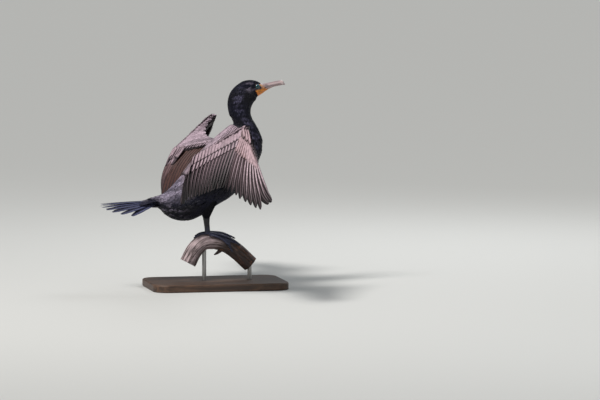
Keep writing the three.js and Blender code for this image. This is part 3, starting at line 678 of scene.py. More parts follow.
class Template:
    """A thin closed form that feathers are stamped from: u across from -1 to 1, v along from 0 to 1."""

    def __init__(self, columns: int, rows: int) -> None:
        """Makes the upper grid, and an under side that shares its rim.

        Args:
            columns: Quads across.
            rows: Quads along.
        """
        bm = bmesh.new()
        bmesh.ops.create_grid(bm, x_segments=columns, y_segments=rows, size=1.0)
        self.u = np.array([v.co.x for v in bm.verts])
        self.v = np.array([v.co.y for v in bm.verts]) * 0.5 + 0.5
        upper = np.array([[v.index for v in f.verts] for f in bm.faces])
        bm.free()
        count = len(self.u)
        order = np.lexsort((np.round(self.u, 5), np.round(self.v, 5)))
        self.order = order.reshape(rows + 1, columns + 1)
        near_rim = 0.001
        inside = (np.abs(self.u) < 1 - near_rim) & (self.v > near_rim) & (self.v < 1 - near_rim)
        self.inner = np.flatnonzero(inside)
        below = np.arange(count)
        below[self.inner] = count + np.arange(len(self.inner))
        self.faces = np.concatenate([upper, below[upper][:, ::-1]])
        self.source = np.concatenate([np.arange(count), self.inner])


def outline(v: Array, point: float) -> Array:
    """Half width of a feather along its length, as a share.

    Args:
        v: Place along it.
        point: 0 for a round tip, 1 for a pointed one.

    Returns:
        The shares.
    """
    base = 0.5 + 0.5 * np.sin(np.clip(v / 0.45, 0, 1) * np.pi / 2)
    start = 0.68 - 0.3 * point
    fall = np.clip((v - start) / (1 - start), 0, 1)
    return base * np.maximum(1 - fall ** (2.6 - 0.9 * point), 0.0) ** 0.55


def rising(v: Array) -> Array:
    """Height of a small feather along its length, as a share: up from the root and then level."""
    return np.sin(np.minimum(v * 1.9, 1.57))


@dataclass
class Sheaf:
    """Many feathers that become one mesh."""

    template: Template
    thickness: float = 0.22
    patch: float = 0.003
    places: list[Array] = field(default_factory=list)
    tones: list[Array] = field(default_factory=list)
    bakes: list[Array] = field(default_factory=list)

    def stamp(self, places: Array, tones: Array, spots: Array) -> None:
        """Adds feathers.

        Args:
            places: Points of each feather's grid, in millimetres.
            tones: Colours of those points.
            spots: Place of each root on the unwrap of the skin.
        """
        self.places.append(places)
        self.tones.append(tones)
        self.bakes.append(spots)

    def mesh(self, flip: bool = False) -> Mesh:
        """Joins the feathers.

        Args:
            flip: Turns the faces round, for the mirrored side.

        Returns:
            The mesh, with its colours and both UV maps.
        """
        grid = self.template
        places, tones, spots = (np.concatenate(part) for part in (self.places, self.tones, self.bakes))
        net = places[:, grid.order]
        normal = unit(np.cross(np.gradient(net, axis=2), np.gradient(net, axis=1))) * (-1 if flip else 1)
        facing = np.empty_like(places)
        facing[:, grid.order] = normal
        thick = self.thickness * (1 - grid.u[grid.inner] ** 2)[None, :, None]
        places = np.concatenate([places, places[:, grid.inner] - facing[:, grid.inner] * thick], axis=1)
        tones = tones[:, grid.source]
        count, size = places.shape[:2]
        cells = grid.faces[:, ::-1] if flip else grid.faces
        faces = (cells[None] + size * np.arange(count)[:, None, None]).reshape(-1, 4)
        mesh = bpy.data.meshes.new("sheaf")
        mesh.vertices.add(count * size)
        mesh.vertices.foreach_set("co", placed(places.reshape(-1, 3)).astype(np.float32).ravel())
        mesh.loops.add(faces.size)
        mesh.loops.foreach_set("vertex_index", faces.ravel().astype(np.int32))
        mesh.polygons.add(len(faces))
        mesh.polygons.foreach_set("loop_start", np.arange(0, faces.size, 4, dtype=np.int32))
        mesh.update(calc_edges=True)
        mesh.polygons.foreach_set("use_smooth", np.ones(len(faces), bool))
        local = np.stack([grid.u * 0.5 + 0.5, grid.v], 1)[grid.source]
        patch = (spots[:, None] + self.patch * (local[None] - 0.5)).reshape(-1, 2)
        add_uv(mesh, "OFBake", patch[faces.ravel()])
        add_uv(mesh, "Vane", np.tile(local, (count, 1))[faces.ravel()])
        paint(mesh, tones.reshape(-1, 3))
        return mesh


# Colours


@dataclass(frozen=True)
class Plumes:
    """Named feather colours."""

    black: tuple = (0.0026, 0.0026, 0.0045)
    gloss: tuple = (0.0055, 0.0062, 0.018)
    # The bluish sheen and lilac rump tones are painted sheen: highlights of the glossy black plumage laid
    # into the feather colour.
    sheen: tuple = (0.135, 0.125, 0.210)
    rump: tuple = (0.26, 0.225, 0.30)
    scaled: tuple = (0.40, 0.305, 0.36)
    scale_edge: tuple = (0.032, 0.020, 0.026)
    covert: tuple = (0.37, 0.27, 0.31)
    # Warm pale tone near the wrist: painted highlight.
    warm: tuple = (0.47, 0.32, 0.335)
    quill: tuple = (0.009, 0.0055, 0.008)
    # Pale outer web of tertials and secondaries: painted sheen.
    quill_sheen: tuple = (0.27, 0.185, 0.215)
    # Warm brown of the far, left wing: painted backlight, as if the sun shone through its feathers.
    painted_backlight: tuple = (0.085, 0.034, 0.027)
    tail: tuple = (0.011, 0.012, 0.027)
    tail_edge: tuple = (0.085, 0.092, 0.175)


TONE = Plumes()


# Body


@dataclass
class Body:
    """Trunk, neck and head: outline stations, the skin inside them and the coat of small feathers."""

    # Columns: back's X and Z, belly's X and Z, half width
    stations: Array = table(
        [-130, 89, -128, 69, 17],
        [-111, 96, -109, 54, 24],
        [-92, 108, -88, 39, 34],
        [-74, 126, -62, 32, 44],
        [-54, 148, -34, 35, 52],
        [-32, 174, -6, 48, 58],
        [-8, 199, 27, 69, 60],
        [14, 220, 60, 90, 58],
        [34, 237, 92, 121, 53],
        [50, 250, 119, 162, 46],
        [60, 258, 134, 196, 38],
        [64, 264, 134, 224, 32],
        [63, 270, 126, 246, 28],
        [59, 279, 117, 263, 25],
        [54, 290, 110, 276, 23],
        [52, 303, 107, 288, 22],
        [52, 316, 108, 299, 21.5],
        [55, 329, 111, 307, 21],
        [61, 341, 115, 314, 20.5],
        [70, 351, 118.5, 319, 20],
        [81, 359, 121, 322.5, 19],
        [93, 364.5, 122.5, 325, 17.5],
        [107, 366, 124.5, 327, 16],
        [121, 363.5, 128, 329.5, 13],
        [134, 358, 134, 333, 9.5],
        [147, 358.8, 148.7, 343, 6.6],
        [160, 361.5, 161, 348.8, 5.2],
        [173, 364, 174, 353.5, 4.6],
        [182, 364.6, 182, 356, 4.2],
        [187.5, 362.5, 186, 356.5, 3.2],
        [190.5, 358, 188.8, 356, 1.6],
    )
    depth: Array = table([0, 2.6], [10, 2.6], [14, 2.0], [19, 1.6], [22, 1.0], [24.5, 0.5])
    # Columns: station, row step, spacing round, length, width
    rows: Array = table(
        [0, 4.8, 4.6, 19, 8.2],
        [5, 5.4, 5.2, 20, 9.0],
        [10, 4.2, 4.2, 15, 6.8],
        [13, 3.1, 2.8, 11.5, 4.3],
        [18, 2.3, 2.1, 9.5, 3.0],
        [21, 1.8, 1.6, 6.8, 2.3],
        [23, 1.5, 1.4, 4.8, 2.0],
        [24.4, 1.3, 1.3, 3.4, 1.8],
    )
    shoulder_reach: tuple = (4.2, 10.2)
    bare_margin: float = 3.4

    def at(self, station: Array, angle: Array, grow: Array | float = 0.0) -> Array:
        """Places on the outline surface.

        Args:
            station: Fractional station numbers.
            angle: Angle round from the back, in radians; positive on the left.
            grow: How far outside the surface.

        Returns:
            One place for each.
        """
        rows = catmull(self.stations, station)
        back = np.stack([rows[:, 0], 0 * rows[:, 0], rows[:, 1]], 1)
        belly = np.stack([rows[:, 2], 0 * rows[:, 0], rows[:, 3]], 1)
        middle = (back + belly) / 2
        radius = back - middle
        length = np.linalg.norm(radius, axis=1, keepdims=True)
        grown = np.broadcast_to(np.asarray(grow, float), (len(rows),))[:, None]
        radius = radius / length * np.maximum(length + grown, 0.4)
        power = 2 / ROUNDNESS
        cos, sin = (powered(f, power) for f in (np.cos(angle), np.sin(angle)))
        out = middle + radius * np.atleast_1d(cos)[:, None]
        out[:, 1] = np.maximum(rows[:, 4] + grown[:, 0], 0.3) * sin
        return out

    def frame(self, station: Array, angle: Array) -> tuple[Array, Array, Array, Array]:
        """Surface directions.

        Args:
            station: Fractional station numbers.
            angle: Angles round.

        Returns:
            Place, direction towards the tail, direction across, and outward normal.
        """
        here = self.at(station, angle)
        back = self.at(station - 0.08, angle) - self.at(station + 0.08, angle)
        round_ = self.at(station, angle + 0.03) - self.at(station, angle - 0.03)
        along, across = unit(back), unit(round_)
        normal = unit(np.cross(across, along))
        rows = catmull(self.stations, station)
        middle = np.stack([(rows[:, 0] + rows[:, 2]) / 2, 0 * station, (rows[:, 1] + rows[:, 3]) / 2], 1)
        flip = np.sign(np.sum(normal * (here - middle), axis=1, keepdims=True))
        return here, along, across, normal * flip

    def spot(self, station: Array, angle: Array) -> Array:
        """Place on the skin's unwrap, for the bake map."""
        turn = (np.asarray(angle) + np.pi) % (2 * np.pi) / (2 * np.pi)
        return np.stack([0.03 + 0.94 * np.asarray(station) / LAST_STATION, 0.02 + 0.46 * turn], 1)

    def mantle(self, station: Array, turn: Array) -> Array:
        """1 on the scaled back and shoulders, 0 elsewhere, with turn in degrees from the back."""
        return bump(*self.shoulder_reach, station, 0.9) * (1 - rise(76, 94, turn))

    def shade(self, station: Array, angle: Array) -> tuple[Array, Array]:
        """Markings of the body, with painted sheen on neck, cheek, breast, rump and lower flanks.

        Args:
            station: Fractional station numbers.
            angle: Angles round.

        Returns:
            Colours of feather middles and of feather edges.
        """
        place = self.at(station, angle)
        turn = np.abs(np.degrees((angle + np.pi) % (2 * np.pi) - np.pi))
        colour = blend(TONE.black, TONE.gloss, waves(place, 26))
        edge = colour * 0.7
        # Painted sheen: pale bluish and lilac patches on neck, cheek, breast, rump and lower flanks stand in
        # for highlights on the glossy black plumage; the feather edges take a weaker share.
        fine = rise(0.35, 0.8, 0.5 * waves(place, 5, 1.0) + 0.5 * waves(place, 14, 2.0))
        course = np.interp(station, [9, 11, 12, 14, 17, 20], [122, 114, 108, 92, 72, 56])
        neck = bump(10.2, 19.8, station, 0.8) * (1 - rise(10, 34, np.abs(turn - course))) * fine
        cheek = bump(20.2, 22.3, station, 0.4) * bump(42, 92, turn, 14)
        cheek = cheek * rise(0.3, 0.75, waves(place, 9, 3.0))
        breast = bump(7.5, 11.0, station, 1.0) * bump(70, 130, turn, 18)
        breast = breast * rise(0.55, 0.85, waves(place, 5, 2.0))
        cloudy = 0.35 + 0.65 * rise(0.25, 0.7, waves(place, 13, 3.0))
        rump = bump(0.0, 5.2, station, 0.7) * (1 - rise(62, 96, turn)) * cloudy
        lower = bump(0.5, 3.5, station, 0.8) * bump(92, 150, turn, 12) * rise(0.66, 0.8, waves(place, 5, 4.0))
        for weight, tone in (
            (neck * 0.6, TONE.sheen),
            (cheek * 0.8, TONE.rump),
            (breast * 0.4, TONE.sheen),
            (rump, TONE.rump),
            (lower * 0.5, TONE.rump),
        ):
            colour = blend(colour, tone, weight)
            edge = blend(edge, tone, weight * 0.35)
        shoulder = self.mantle(station, turn)
        colour = blend(colour, np.array(TONE.scaled) * (0.7 + 0.5 * waves(place, 8, 5.0))[:, None], shoulder)
        edge = blend(edge, TONE.scale_edge, shoulder)
        return colour, edge

    def flesh(self) -> list[list[Array]]:
        """Rings of the skin, a coat's depth inside the outline."""
        angle = ring_turns(48, 0.5)
        steps = np.linspace(0, 24.2, 120)
        sunk = np.interp(steps, self.depth[:, 0], self.depth[:, 1])
        trunk = [self.at(np.full(len(angle), s), angle, -d) for s, d in zip(steps, sunk)]
        start = self.at(np.zeros(len(angle)), angle, -self.depth[0, 1])
        stump = []
        for t in np.linspace(0, 1, 8):
            ring = start.copy()
            ring[:, 0] -= 33 * t
            ring[:, 1] *= 1 - 0.3 * t
            ring[:, 2] += (80 - 2.7 * t - ring[:, 2]) * 0.76 * t
            stump.append(ring)
        return [stump[::-1] + trunk[1:]]

    def keep(self, station: Array, angle: Array, margin: float = 0.0) -> Array:
        """Where small feathers grow: not on the face or the throat pouch.

        Args:
            station: Fractional station numbers.
            angle: Angles round.
            margin: How far ahead of a bare patch's rear edge roots still lie, under the bare skin.

        Returns:
            True where they grow.
        """
        place = self.at(station, angle)
        x, z = place[:, 0], place[:, 2]
        mouth, aside = gape(x), np.abs(np.sin(angle))
        pouch = (z < mouth + 1.6 - 0.4 * margin) & (x > 112.2 + margin + (GAPE[1] - z) * POUCH_SLOPE)
        lores = (x > 116) & (z < 357.5 - 0.12 * (x - 118)) & (z > mouth - 1) & (x > 131 - np.abs(z - 350))
        eye = (x - 121.5) ** 2 + (z - 351) ** 2 < 6.6**2
        strip = (x > 117) & (np.abs(z - 356.0 + 0.1 * (x - 118)) < 1.6)
        bill = x > 131.5 + 1.5 * aside
        return ~(pouch | lores | ((eye | strip) & (aside > 0.3)) | bill)

    def seats(self, first: float, last: float) -> tuple[Array, Array]:
        """Staggered places of the coat between two stations.

        Args:
            first: Station of the first row.
            last: Station of the last row.

        Returns:
            Stations and angles.
        """
        random = np.random.default_rng(SEED)
        found_s, found_a = [], []
        station, row = first, 0
        turns, small = np.linspace(-np.pi, np.pi, 64), 0.1
        while station < last:
            step, gap = (np.interp(station, self.rows[:, 0], self.rows[:, k]) for k in (1, 2))
            ring, ahead = (self.at(np.full(len(turns), s), turns) for s in (station, station + small))
            girth = np.linalg.norm(np.diff(ring, axis=0), axis=1).sum()
            pace = np.linalg.norm(ahead - ring, axis=1).mean() / small
            count = max(int(girth / gap), 8)
            angle = (np.arange(count) + 0.5 * (row % 2)) * 2 * np.pi / count - np.pi
            found_a.append(angle + random.normal(0, 0.12 * 2 * np.pi / count, count))
            found_s.append(np.full(count, station) + random.normal(0, 0.12 * step / pace, count))
            station += step / pace
            row += 1
        station, angle = np.concatenate(found_s), np.concatenate(found_a)
        kept = self.keep(station, angle, self.bare_margin)
        return station[kept], angle[kept]

    def coat(self, name: str, first: float, last: float, template: Template, material: Material) -> None:
        """Lays small feathers on one stretch of the body.

        Args:
            name: Name of the piece.
            first: Station where it starts.
            last: Station where it ends.
            template: Grid of one feather.
            material: Finish.
        """
        random = np.random.default_rng(SEED + 1)
        station, angle = self.seats(first, last)
        here, along, across, normal = self.frame(station, angle)
        count = len(station)
        length, width = (np.interp(station, self.rows[:, 0], self.rows[:, k]) for k in (3, 4))
        sunk = np.interp(station, self.depth[:, 0], self.depth[:, 1])
        length = length * random.uniform(0.82, 1.18, count)
        turn = np.abs(np.degrees(angle))
        shoulder = self.mantle(station, turn)
        length, width = length * (1 + 0.5 * shoulder), width * (1 + 0.35 * shoulder)
        sway = random.normal(0, 0.13, count)[:, None]
        lay = unit(along + across * sway)
        over = unit(across - along * sway)
        u, v = template.u[None, :, None], template.v[None, :, None]
        wide = outline(template.v, 0.35)[None, :, None]
        size, half = length[:, None, None], width[:, None, None] / 2
        lift = (sunk + 0.35 + random.uniform(0, 0.35, count))[:, None, None]
        root = here - normal * (sunk * 1.05)[:, None]
        bend = 0.5 * size * size / np.interp(station, [0, 10, 20, 24], [60, 60, 30, 22])[:, None, None]
        high = lift * rising(v) - bend * v * v * 0.45 - 0.16 * half * u * u
        flat = root[:, None] + lay[:, None] * size * v + over[:, None] * half * wide * u
        places = flat + normal[:, None] * high
        middle, edge = self.shade(station, angle)
        rim = np.clip(np.maximum(np.abs(template.u) ** 3, rise(0.72, 1.0, template.v)), 0, 1)
        tones = blend(middle[:, None], edge[:, None], np.broadcast_to(rim, (count, len(rim))))
        tones = tones * random.uniform(0.72, 1.28, count)[:, None, None]
        sheaf = Sheaf(template)
        sheaf.stamp(places, tones, self.spot(station, angle))
        finished(name, sheaf.mesh(), material)


# Long feathers


@dataclass
class Plume:
    """Shape and colours of one kind of long feather."""

    width: float
    point: float = 0.3
    roll: float = 0.0
    arch: float = 0.10
    lead: float = 0.5
    middle: tuple = TONE.quill
    # The default pale outer web is the flight feathers' painted sheen.
    outer: tuple = TONE.quill_sheen
    rim: tuple = TONE.quill
    outer_from: float = 0.1
    outer_to: float = 2.0
    rim_from: float = 0.9
    tip_from: float = 0.93
    fade: float = 0.0
    fade_from: float = 0.45
    soft: float = 0.14


class Quiver:
    """Long feathers laid along lines, all in one mesh."""

    def __init__(self, columns: int, rows: int, seed: int) -> None:
        """Prepares the grid.

        Args:
            columns: Quads across a feather.
            rows: Quads along it.
            seed: Seed of the small differences between feathers.
        """
        self.sheaf = Sheaf(Template(columns, rows), 0.4)
        self.random = np.random.default_rng(seed)

    def lay(
        self, line: Array, spread: Array, plume: Plume, spot: Array, tint: float = 1.0, side: float = 1.0
    ) -> None:
        """Adds one feather.

        Args:
            line: A few places from root to tip.
            spread: Direction of the feather's width.
            plume: Its kind.
            spot: Place of its root on the unwrap.
            tint: Brightness of this one.
            side: -1 puts the pale outer web on the other side of the shaft.
        """
        grid = self.sheaf.template
        u, v = grid.u, grid.v
        wobble = self.random.normal(0, 0.012)
        line = np.asarray(line, float)
        line[-1] = line[-1] + spread * wobble * np.linalg.norm(line[-1] - line[0])
        spine = catmull(line, v * (len(line) - 1))
        ahead = catmull(line, np.minimum(v + 0.02, 1) * (len(line) - 1))
        behind = catmull(line, np.maximum(v - 0.02, 0) * (len(line) - 1))
        along = unit(ahead - behind)
        flat = unit(spread - along * (along @ spread)[:, None])
        up = np.cross(flat, along)
        cos, sin = math.cos(math.radians(plume.roll)), math.sin(math.radians(plume.roll))
        across, normal = flat * cos + up * sin, up * cos - flat * sin
        shift = (0.5 - plume.lead) * side
        x = u + shift * 0.8 * (1 - u * u)
        notch = self.random.uniform(0.35, 0.9, 2)
        ragged = 1 - 0.10 * sum(np.exp(-(((v - n) / 0.02) ** 2)) for n in notch) * (np.abs(u) > 0.9)
        half = plume.width / 2 * outline(v, plume.point) * ragged
        ridge = 0.3 * np.exp(-((x - shift * 0.8) ** 2) / 0.004) * (1 - 0.7 * v)
        height = ridge - plume.arch * plume.width * (x * x) * 0.5 * outline(v, 0.0)
        places = spine + across * (half * x)[:, None] + normal * height[:, None]
        web = u * side
        pale = bump(plume.outer_from, plume.outer_to, web, plume.soft)
        colour = blend(plume.middle, plume.outer, pale)
        aside = rise(plume.rim_from - 0.06, plume.rim_from + 0.06, np.abs(u))
        ended = rise(plume.tip_from - 0.03, plume.tip_from + 0.04, v)
        colour = blend(colour, plume.rim, np.maximum(aside, ended))
        faded = (1 - plume.fade * rise(plume.fade_from, 0.95, v))[:, None]
        colour = colour * faded * tint * self.random.uniform(0.86, 1.14)
        self.sheaf.stamp(places[None], colour[None], np.asarray(spot, float)[None])

    def piece(self, name: str, material: Material, slot: str, side: int, replaced: tuple = ()) -> None:
        """Makes the mesh, mirrored for side -1."""
        for places in self.sheaf.places:
            places[..., 1] *= side
        finished(name, self.sheaf.mesh(flip=side < 0), material, replaced)


@dataclass(frozen=True)
class Tier:
    """One row of coverts along the wing, thinner towards the hand's tip."""

    kind: Plume
    first: float
    last: float
    count: int
    reaches: tuple
    heights: tuple
    across: float
    slim: float = 0.5
    slimmed: int = 2


@dataclass
class Wing:
    """The left wing's bones, flesh and feathers. The right one is its mirror image."""

    body: Body
    shoulder: Array = table(70, 34, 222)
    elbow: Array = table(-53, 125, 188)
    wrist: Array = table(54, 205, 264)
    finger: Array = table(54, 300, 205)
    patagium: float = 0.66
    thick: float = 8.0
    palm_thick: float = 6.5
    tips: Array = table(
        [-84, 134, 80],
        [-81, 162, 88],
        [-77, 190, 97],
        [-68, 211, 105],
        [-57, 226, 111],
        [-44, 235, 117],
        [-31, 240, 122],
        [-18, 244, 127],
        [-6, 251, 127],
        [1, 297, 121],
        [11, 358, 113],
        [25, 408, 101],
        [41, 458, 98],
        [58, 484, 114],
    )
    elbow_quill: float = 3.0
    wrist_quill: float = 16.2
    first_primary: int = 17
    first_pointed: int = 21
    last_quill: float = 26.0
    cambers: tuple = (15, 5.5)

    def __post_init__(self) -> None:
        """Works out the directions of arm and hand."""
        self.normal = unit(np.cross(self.shoulder - self.elbow, self.wrist - self.elbow))
        if self.normal @ self.quill(8)["up"] < 0:
            self.normal = -self.normal
        between = (self.shoulder + self.wrist) / 2
        self.control = 2 * (self.elbow + (between - self.elbow) * self.patagium) - between
        self.axis = unit(self.finger - self.wrist)
        up = self.quill(19.5)["up"]
        self.palm_normal = unit(up - self.axis * (up @ self.axis))
        ahead = np.cross(self.axis, self.palm_normal)
        self.palm_ahead = -ahead if ahead @ self.quill(19.5)["along"] > 0 else ahead

    def root(self, quill: float) -> Array:
        """Where a flight feather starts."""
        if quill < self.elbow_quill:
            share = 0.85 + 0.15 * quill / self.elbow_quill
            return self.shoulder + (self.elbow - self.shoulder) * share
        if quill < self.wrist_quill:
            share = (quill - self.elbow_quill) / (self.wrist_quill - self.elbow_quill)
            return self.elbow + (self.wrist - self.elbow) * share
        share = (quill - self.wrist_quill) / (self.last_quill - self.wrist_quill)
        return self.wrist + (self.finger - self.wrist) * share

    def tip(self, quill: float) -> Array:
        """Where a flight feather ends."""
        return catmull(self.tips, quill / 2)[0]

    def quill(self, number: float) -> dict[str, Array]:
        """Root, tip and directions of a flight feather."""
        root, tip = self.root(number), self.tip(number)
        after, before = (self.root(number + d) * 0.55 + self.tip(number + d) * 0.45 for d in (0.7, -0.7))
        along = unit(tip - root)
        spread = after - before
        across = unit(spread - along * (spread @ along))
        return {"root": root, "tip": tip, "along": along, "across": across, "up": np.cross(across, along)}

    def camber(self, number: float) -> float:
        """How far a flight feather arches over its straight line."""
        inner, outer = self.cambers
        return inner + (outer - inner) * min(max(number, 0) / 7, 1) ** 0.7

    def over(self, number: float, reach: float, height: float) -> Array:
        """A place over a flight feather's upper face.

        Args:
            number: Quill number.
            reach: Distance from its root.
            height: Height over the face.

        Returns:
            The place.
        """
        quill = self.quill(number)
        length = np.linalg.norm(quill["tip"] - quill["root"])
        t = np.clip(reach / length, 0, 1)
        arch = self.camber(number) * 4 * t * (1 - t)
        return quill["root"] + quill["along"] * reach + quill["up"] * (arch + height)

    def arm_at(self, place: float) -> tuple[Array, Array, float]:
        """Bone, direction ahead and reach of the skin: 0 at the shoulder, 1 at the elbow, 2 at the wrist."""
        if place < 1:
            bone = self.shoulder + (self.elbow - self.shoulder) * place
        else:
            bone = self.elbow + (self.wrist - self.elbow) * (place - 1)
        t = place / 2
        edge = self.shoulder * (1 - t) ** 2 + self.control * 2 * t * (1 - t) + self.wrist * t * t
        chord = edge - bone
        size = np.linalg.norm(chord)
        ahead = unit(chord) if size > 1 else unit(self.control - self.elbow)
        return bone, ahead, math.hypot(size, 9)

    def surface(self, place: float, share: float, face: Face) -> tuple[Array, Array, Array]:
        """A place on the flesh of arm or hand.

        Args:
            place: 0 to 2 along the arm, 2 to 3 along the hand.
            share: 0 at the rear edge, 1 at the front edge.
            face: Upper or under face.

        Returns:
            Place, direction towards the front, and outward direction.
        """
        if place <= 2:
            bone, ahead, reach = self.arm_at(place)
            normal, thick, size = self.normal, self.thick, 1.0
        else:
            size = 1 - 0.55 * (place - 2)
            bone = self.wrist + (self.finger - self.wrist) * (place - 2)
            ahead, normal, thick, reach = self.palm_ahead, self.palm_normal, self.palm_thick, 9 * size
        x = -10 * size + (reach + 10 * size) * share
        heights = [0.35, 0.95, 0.85, 0.16]
        high = np.interp(x, [-10 * size, -3 * size, 0.3 * reach, reach], heights) * thick * size
        sign = face.value * (1.0 if face is Face.UPPER else 0.8)
        return bone + ahead * x + normal * high * sign, ahead, normal * face.value

    def flesh(self) -> list[list[Array]]:
        """Rings of arm and hand for the skin."""
        shares = np.linspace(0, 1, 12)
        bands = []
        for places in (np.linspace(0.0, 2.0, 40), np.linspace(2.0, 3.0, 14)):
            rings = []
            for place in places:
                up = [self.surface(place, s, Face.UPPER)[0] for s in shares]
                low = [self.surface(place, s, Face.UNDER)[0] for s in shares[::-1]]
                rings.append(np.array(up + low))
            bands.append(rings)
        return bands

    def spot(self, place: float, across: float, side: int) -> Array:
        """Place on the unwrap: place 0 to 3 along the wing, across -1 (under) to 1 (upper)."""
        base = 0.03 if side > 0 else 0.53
        return np.array([base + 0.44 * min(max(place / 3, 0), 1), 0.76 + 0.22 * across])

    def place_of(self, quill: float) -> float:
        """Place along the wing of a quill number."""
        if quill < self.wrist_quill:
            return 1 + (quill - self.elbow_quill) / (self.wrist_quill - self.elbow_quill)
        return 2 + (quill - self.wrist_quill) / (self.last_quill - self.wrist_quill)

    def flight(self, side: int, material: Material) -> None:
        """Tertials, secondaries and primaries."""
        quiver = Quiver(12, 26, SEED + 10)
        for number in range(int(self.last_quill) + 1):
            quill = self.quill(number)
            kind, bow = self.kind(number)
            arch = self.camber(number)
            line = []
            for t in np.linspace(0, 1, 7):
                curve = 4 * t * (1 - t)
                place = quill["root"] + (quill["tip"] - quill["root"]) * t
                line.append(place + quill["up"] * arch * curve + quill["across"] * bow * curve)
            # Painted backlight: the left wing's quills are warmed as if lit through from behind.
            if side > 0:
                kind.middle = tuple(blend(kind.middle, TONE.painted_backlight, 0.6))
                kind.outer = tuple(blend(kind.outer, TONE.painted_backlight, 0.6))
            quiver.lay(np.array(line), quill["across"], kind, self.spot(self.place_of(number), 0.2, side))
        nodes = tuple(f"wing_{SIDES[side]}_{part}" for part in ("upper_arm", "forearm", "hand"))
        quiver.piece(f"wing_{SIDES[side]}_quills", material, "wing_feathers", side, nodes)

    def kind(self, number: float) -> tuple[Plume, float]:
        """Shape and bow of a flight feather by its number."""
        # The pale outer webs of tertials and secondaries are painted sheen, and the pale line on the
        # primaries' leading webs is a painted highlight.
        if number < self.elbow_quill:
            tertial = Plume(22, point=0.5, roll=12, arch=0.14, middle=(0.030, 0.020, 0.025))
            return replace(tertial, outer_from=0.3, outer_to=0.78, fade=0.7), 0.0
        if number < self.first_primary:
            secondary = Plume(18, point=0.25, roll=10, outer_from=0.5, outer_to=0.8, soft=0.1)
            return replace(secondary, fade=0.95, fade_from=0.28), -2.0
        share = rise(self.first_primary, self.last_quill, number)
        brown = tuple(blend((0.075, 0.042, 0.048), (0.045, 0.026, 0.030), share) * 0.5)
        primary = Plume(29.5, middle=brown, soft=0.08, fade=0.75)
        if number < self.first_pointed:
            broad = replace(primary, width=32, point=0.5, roll=8, lead=0.36)
            return replace(broad, outer_from=0.6, outer_to=0.82, outer=(0.50, 0.37, 0.42)), -5.0
        pointed = replace(primary, point=0.8, roll=12, lead=0.3)
        return replace(pointed, outer_from=0.62, outer_to=0.86, outer=(0.60, 0.46, 0.51)), -7.0

    def tier(self, quiver: Quiver, tier: Tier, side: int) -> None:
        """Lays one row of coverts.

        Args:
            quiver: Where the feathers are added.
            tier: The row.
            side: 1 for the left wing, -1 for the right.
        """
        for number in np.linspace(tier.first, tier.last, tier.count):
            size = 1 - tier.slim * max(number - 16, 0) / 10
            sizes = [size] * tier.slimmed + [1] * (len(tier.heights) - tier.slimmed)
            line = [self.over(number, r, h * s) for r, h, s in zip(tier.reaches, tier.heights, sizes)]
            spot = self.spot(self.place_of(number), tier.across, side)
            quiver.lay(np.array(line), self.quill(number)["across"], tier.kind, spot)

    def coverts(self, side: int, material: Material) -> None:
        """Greater, median and primary coverts on both faces, alula, humerals and scapulars."""
        quiver = Quiver(8, 12, SEED + 20)
        # warm is a painted highlight on the outer webs of the alula and hand coverts, near the wrist.
        warm = tuple(blend(TONE.covert, TONE.warm, 0.5))
        edged = Plume(17, point=0.25, roll=4, outer=TONE.covert, rim=TONE.scale_edge)
        great = replace(edged, arch=0.06, middle=(0.06, 0.040, 0.050), outer_from=0.12, rim_from=0.84)
        median = replace(edged, width=16, point=0.1, arch=0.07, middle=(0.25, 0.18, 0.21))
        median = replace(median, outer_from=-0.3, rim_from=0.82, tip_from=0.88)
        smooth = Plume(15, point=0.4, roll=4, arch=0.05, middle=(0.24, 0.155, 0.16), outer=warm)
        hand_great = replace(smooth, lead=0.35, rim=(0.10, 0.06, 0.06), rim_from=0.92, outer_from=-0.2)
        hand_median = replace(smooth, width=14, point=0.2, middle=(0.32, 0.21, 0.21))
        hand_median = replace(hand_median, rim=(0.13, 0.08, 0.08), rim_from=0.9, outer_from=-0.3)
        under = Plume(18, point=0.2, roll=-4, middle=(0.03, 0.021, 0.026), outer=(0.07, 0.05, 0.06))
        under = replace(under, rim=(0.012, 0.009, 0.011), rim_from=0.86)
        for tier in (
            Tier(great, 0.2, 15.9, 18, (-4, 8, 24, 46), (3.5, 5.2, 3.4, 1.7), 0.35),
            Tier(median, 0.0, 15.9, 20, (-9, 0, 12, 27), (4.5, 8.6, 6.6, 3.6), 0.5),
            Tier(hand_great, 16.3, 25.8, 12, (-3, 10, 34, 64), (3, 5.5, 3.2, 1.6), 0.4),
            Tier(hand_median, 16.0, 25.4, 13, (-7, 3, 16, 36), (3, 6.8, 5.2, 3.0), 0.55),
            Tier(under, 0.5, 25.6, 25, (2, 16, 30, 46), (-4, -4.5, -3, -2.2), -0.3, 0.45, 4),
            Tier(under, 0.5, 25.6, 27, (-4, 6, 14, 26), (-5, -7.5, -5.5, -4), -0.3, 0.45, 4),
        ):
            self.tier(quiver, tier, side)
        thumb = replace(edged, width=15, point=0.5, middle=(0.17, 0.115, 0.12), outer=warm, rim_from=0.88)
        for i, length in enumerate((58, 47, 35)):
            ahead = self.palm_ahead * (5 - 4 * i)
            root = self.wrist + ahead + self.palm_normal * (4 + 2.2 * i) + self.axis * (14 - 5 * i)
            bow = self.palm_normal * 4
            line = [root + self.axis * length * t + bow * math.sin(2 * t) for t in (0, 0.33, 0.67, 1)]
            quiver.lay(np.array(line), self.palm_ahead, thumb, self.spot(2.1, 0.6, side))
        self.humerals(quiver, side)
        self.scapulars(quiver)
        quiver.piece(f"wing_{SIDES[side]}_coverts", material, "wing_feathers", side)

    def humerals(self, quiver: Quiver, side: int) -> None:
        """Feathers that close the wing to the body.

        Args:
            quiver: Where the feathers are added.
            side: 1 for the left wing, -1 for the right.
        """
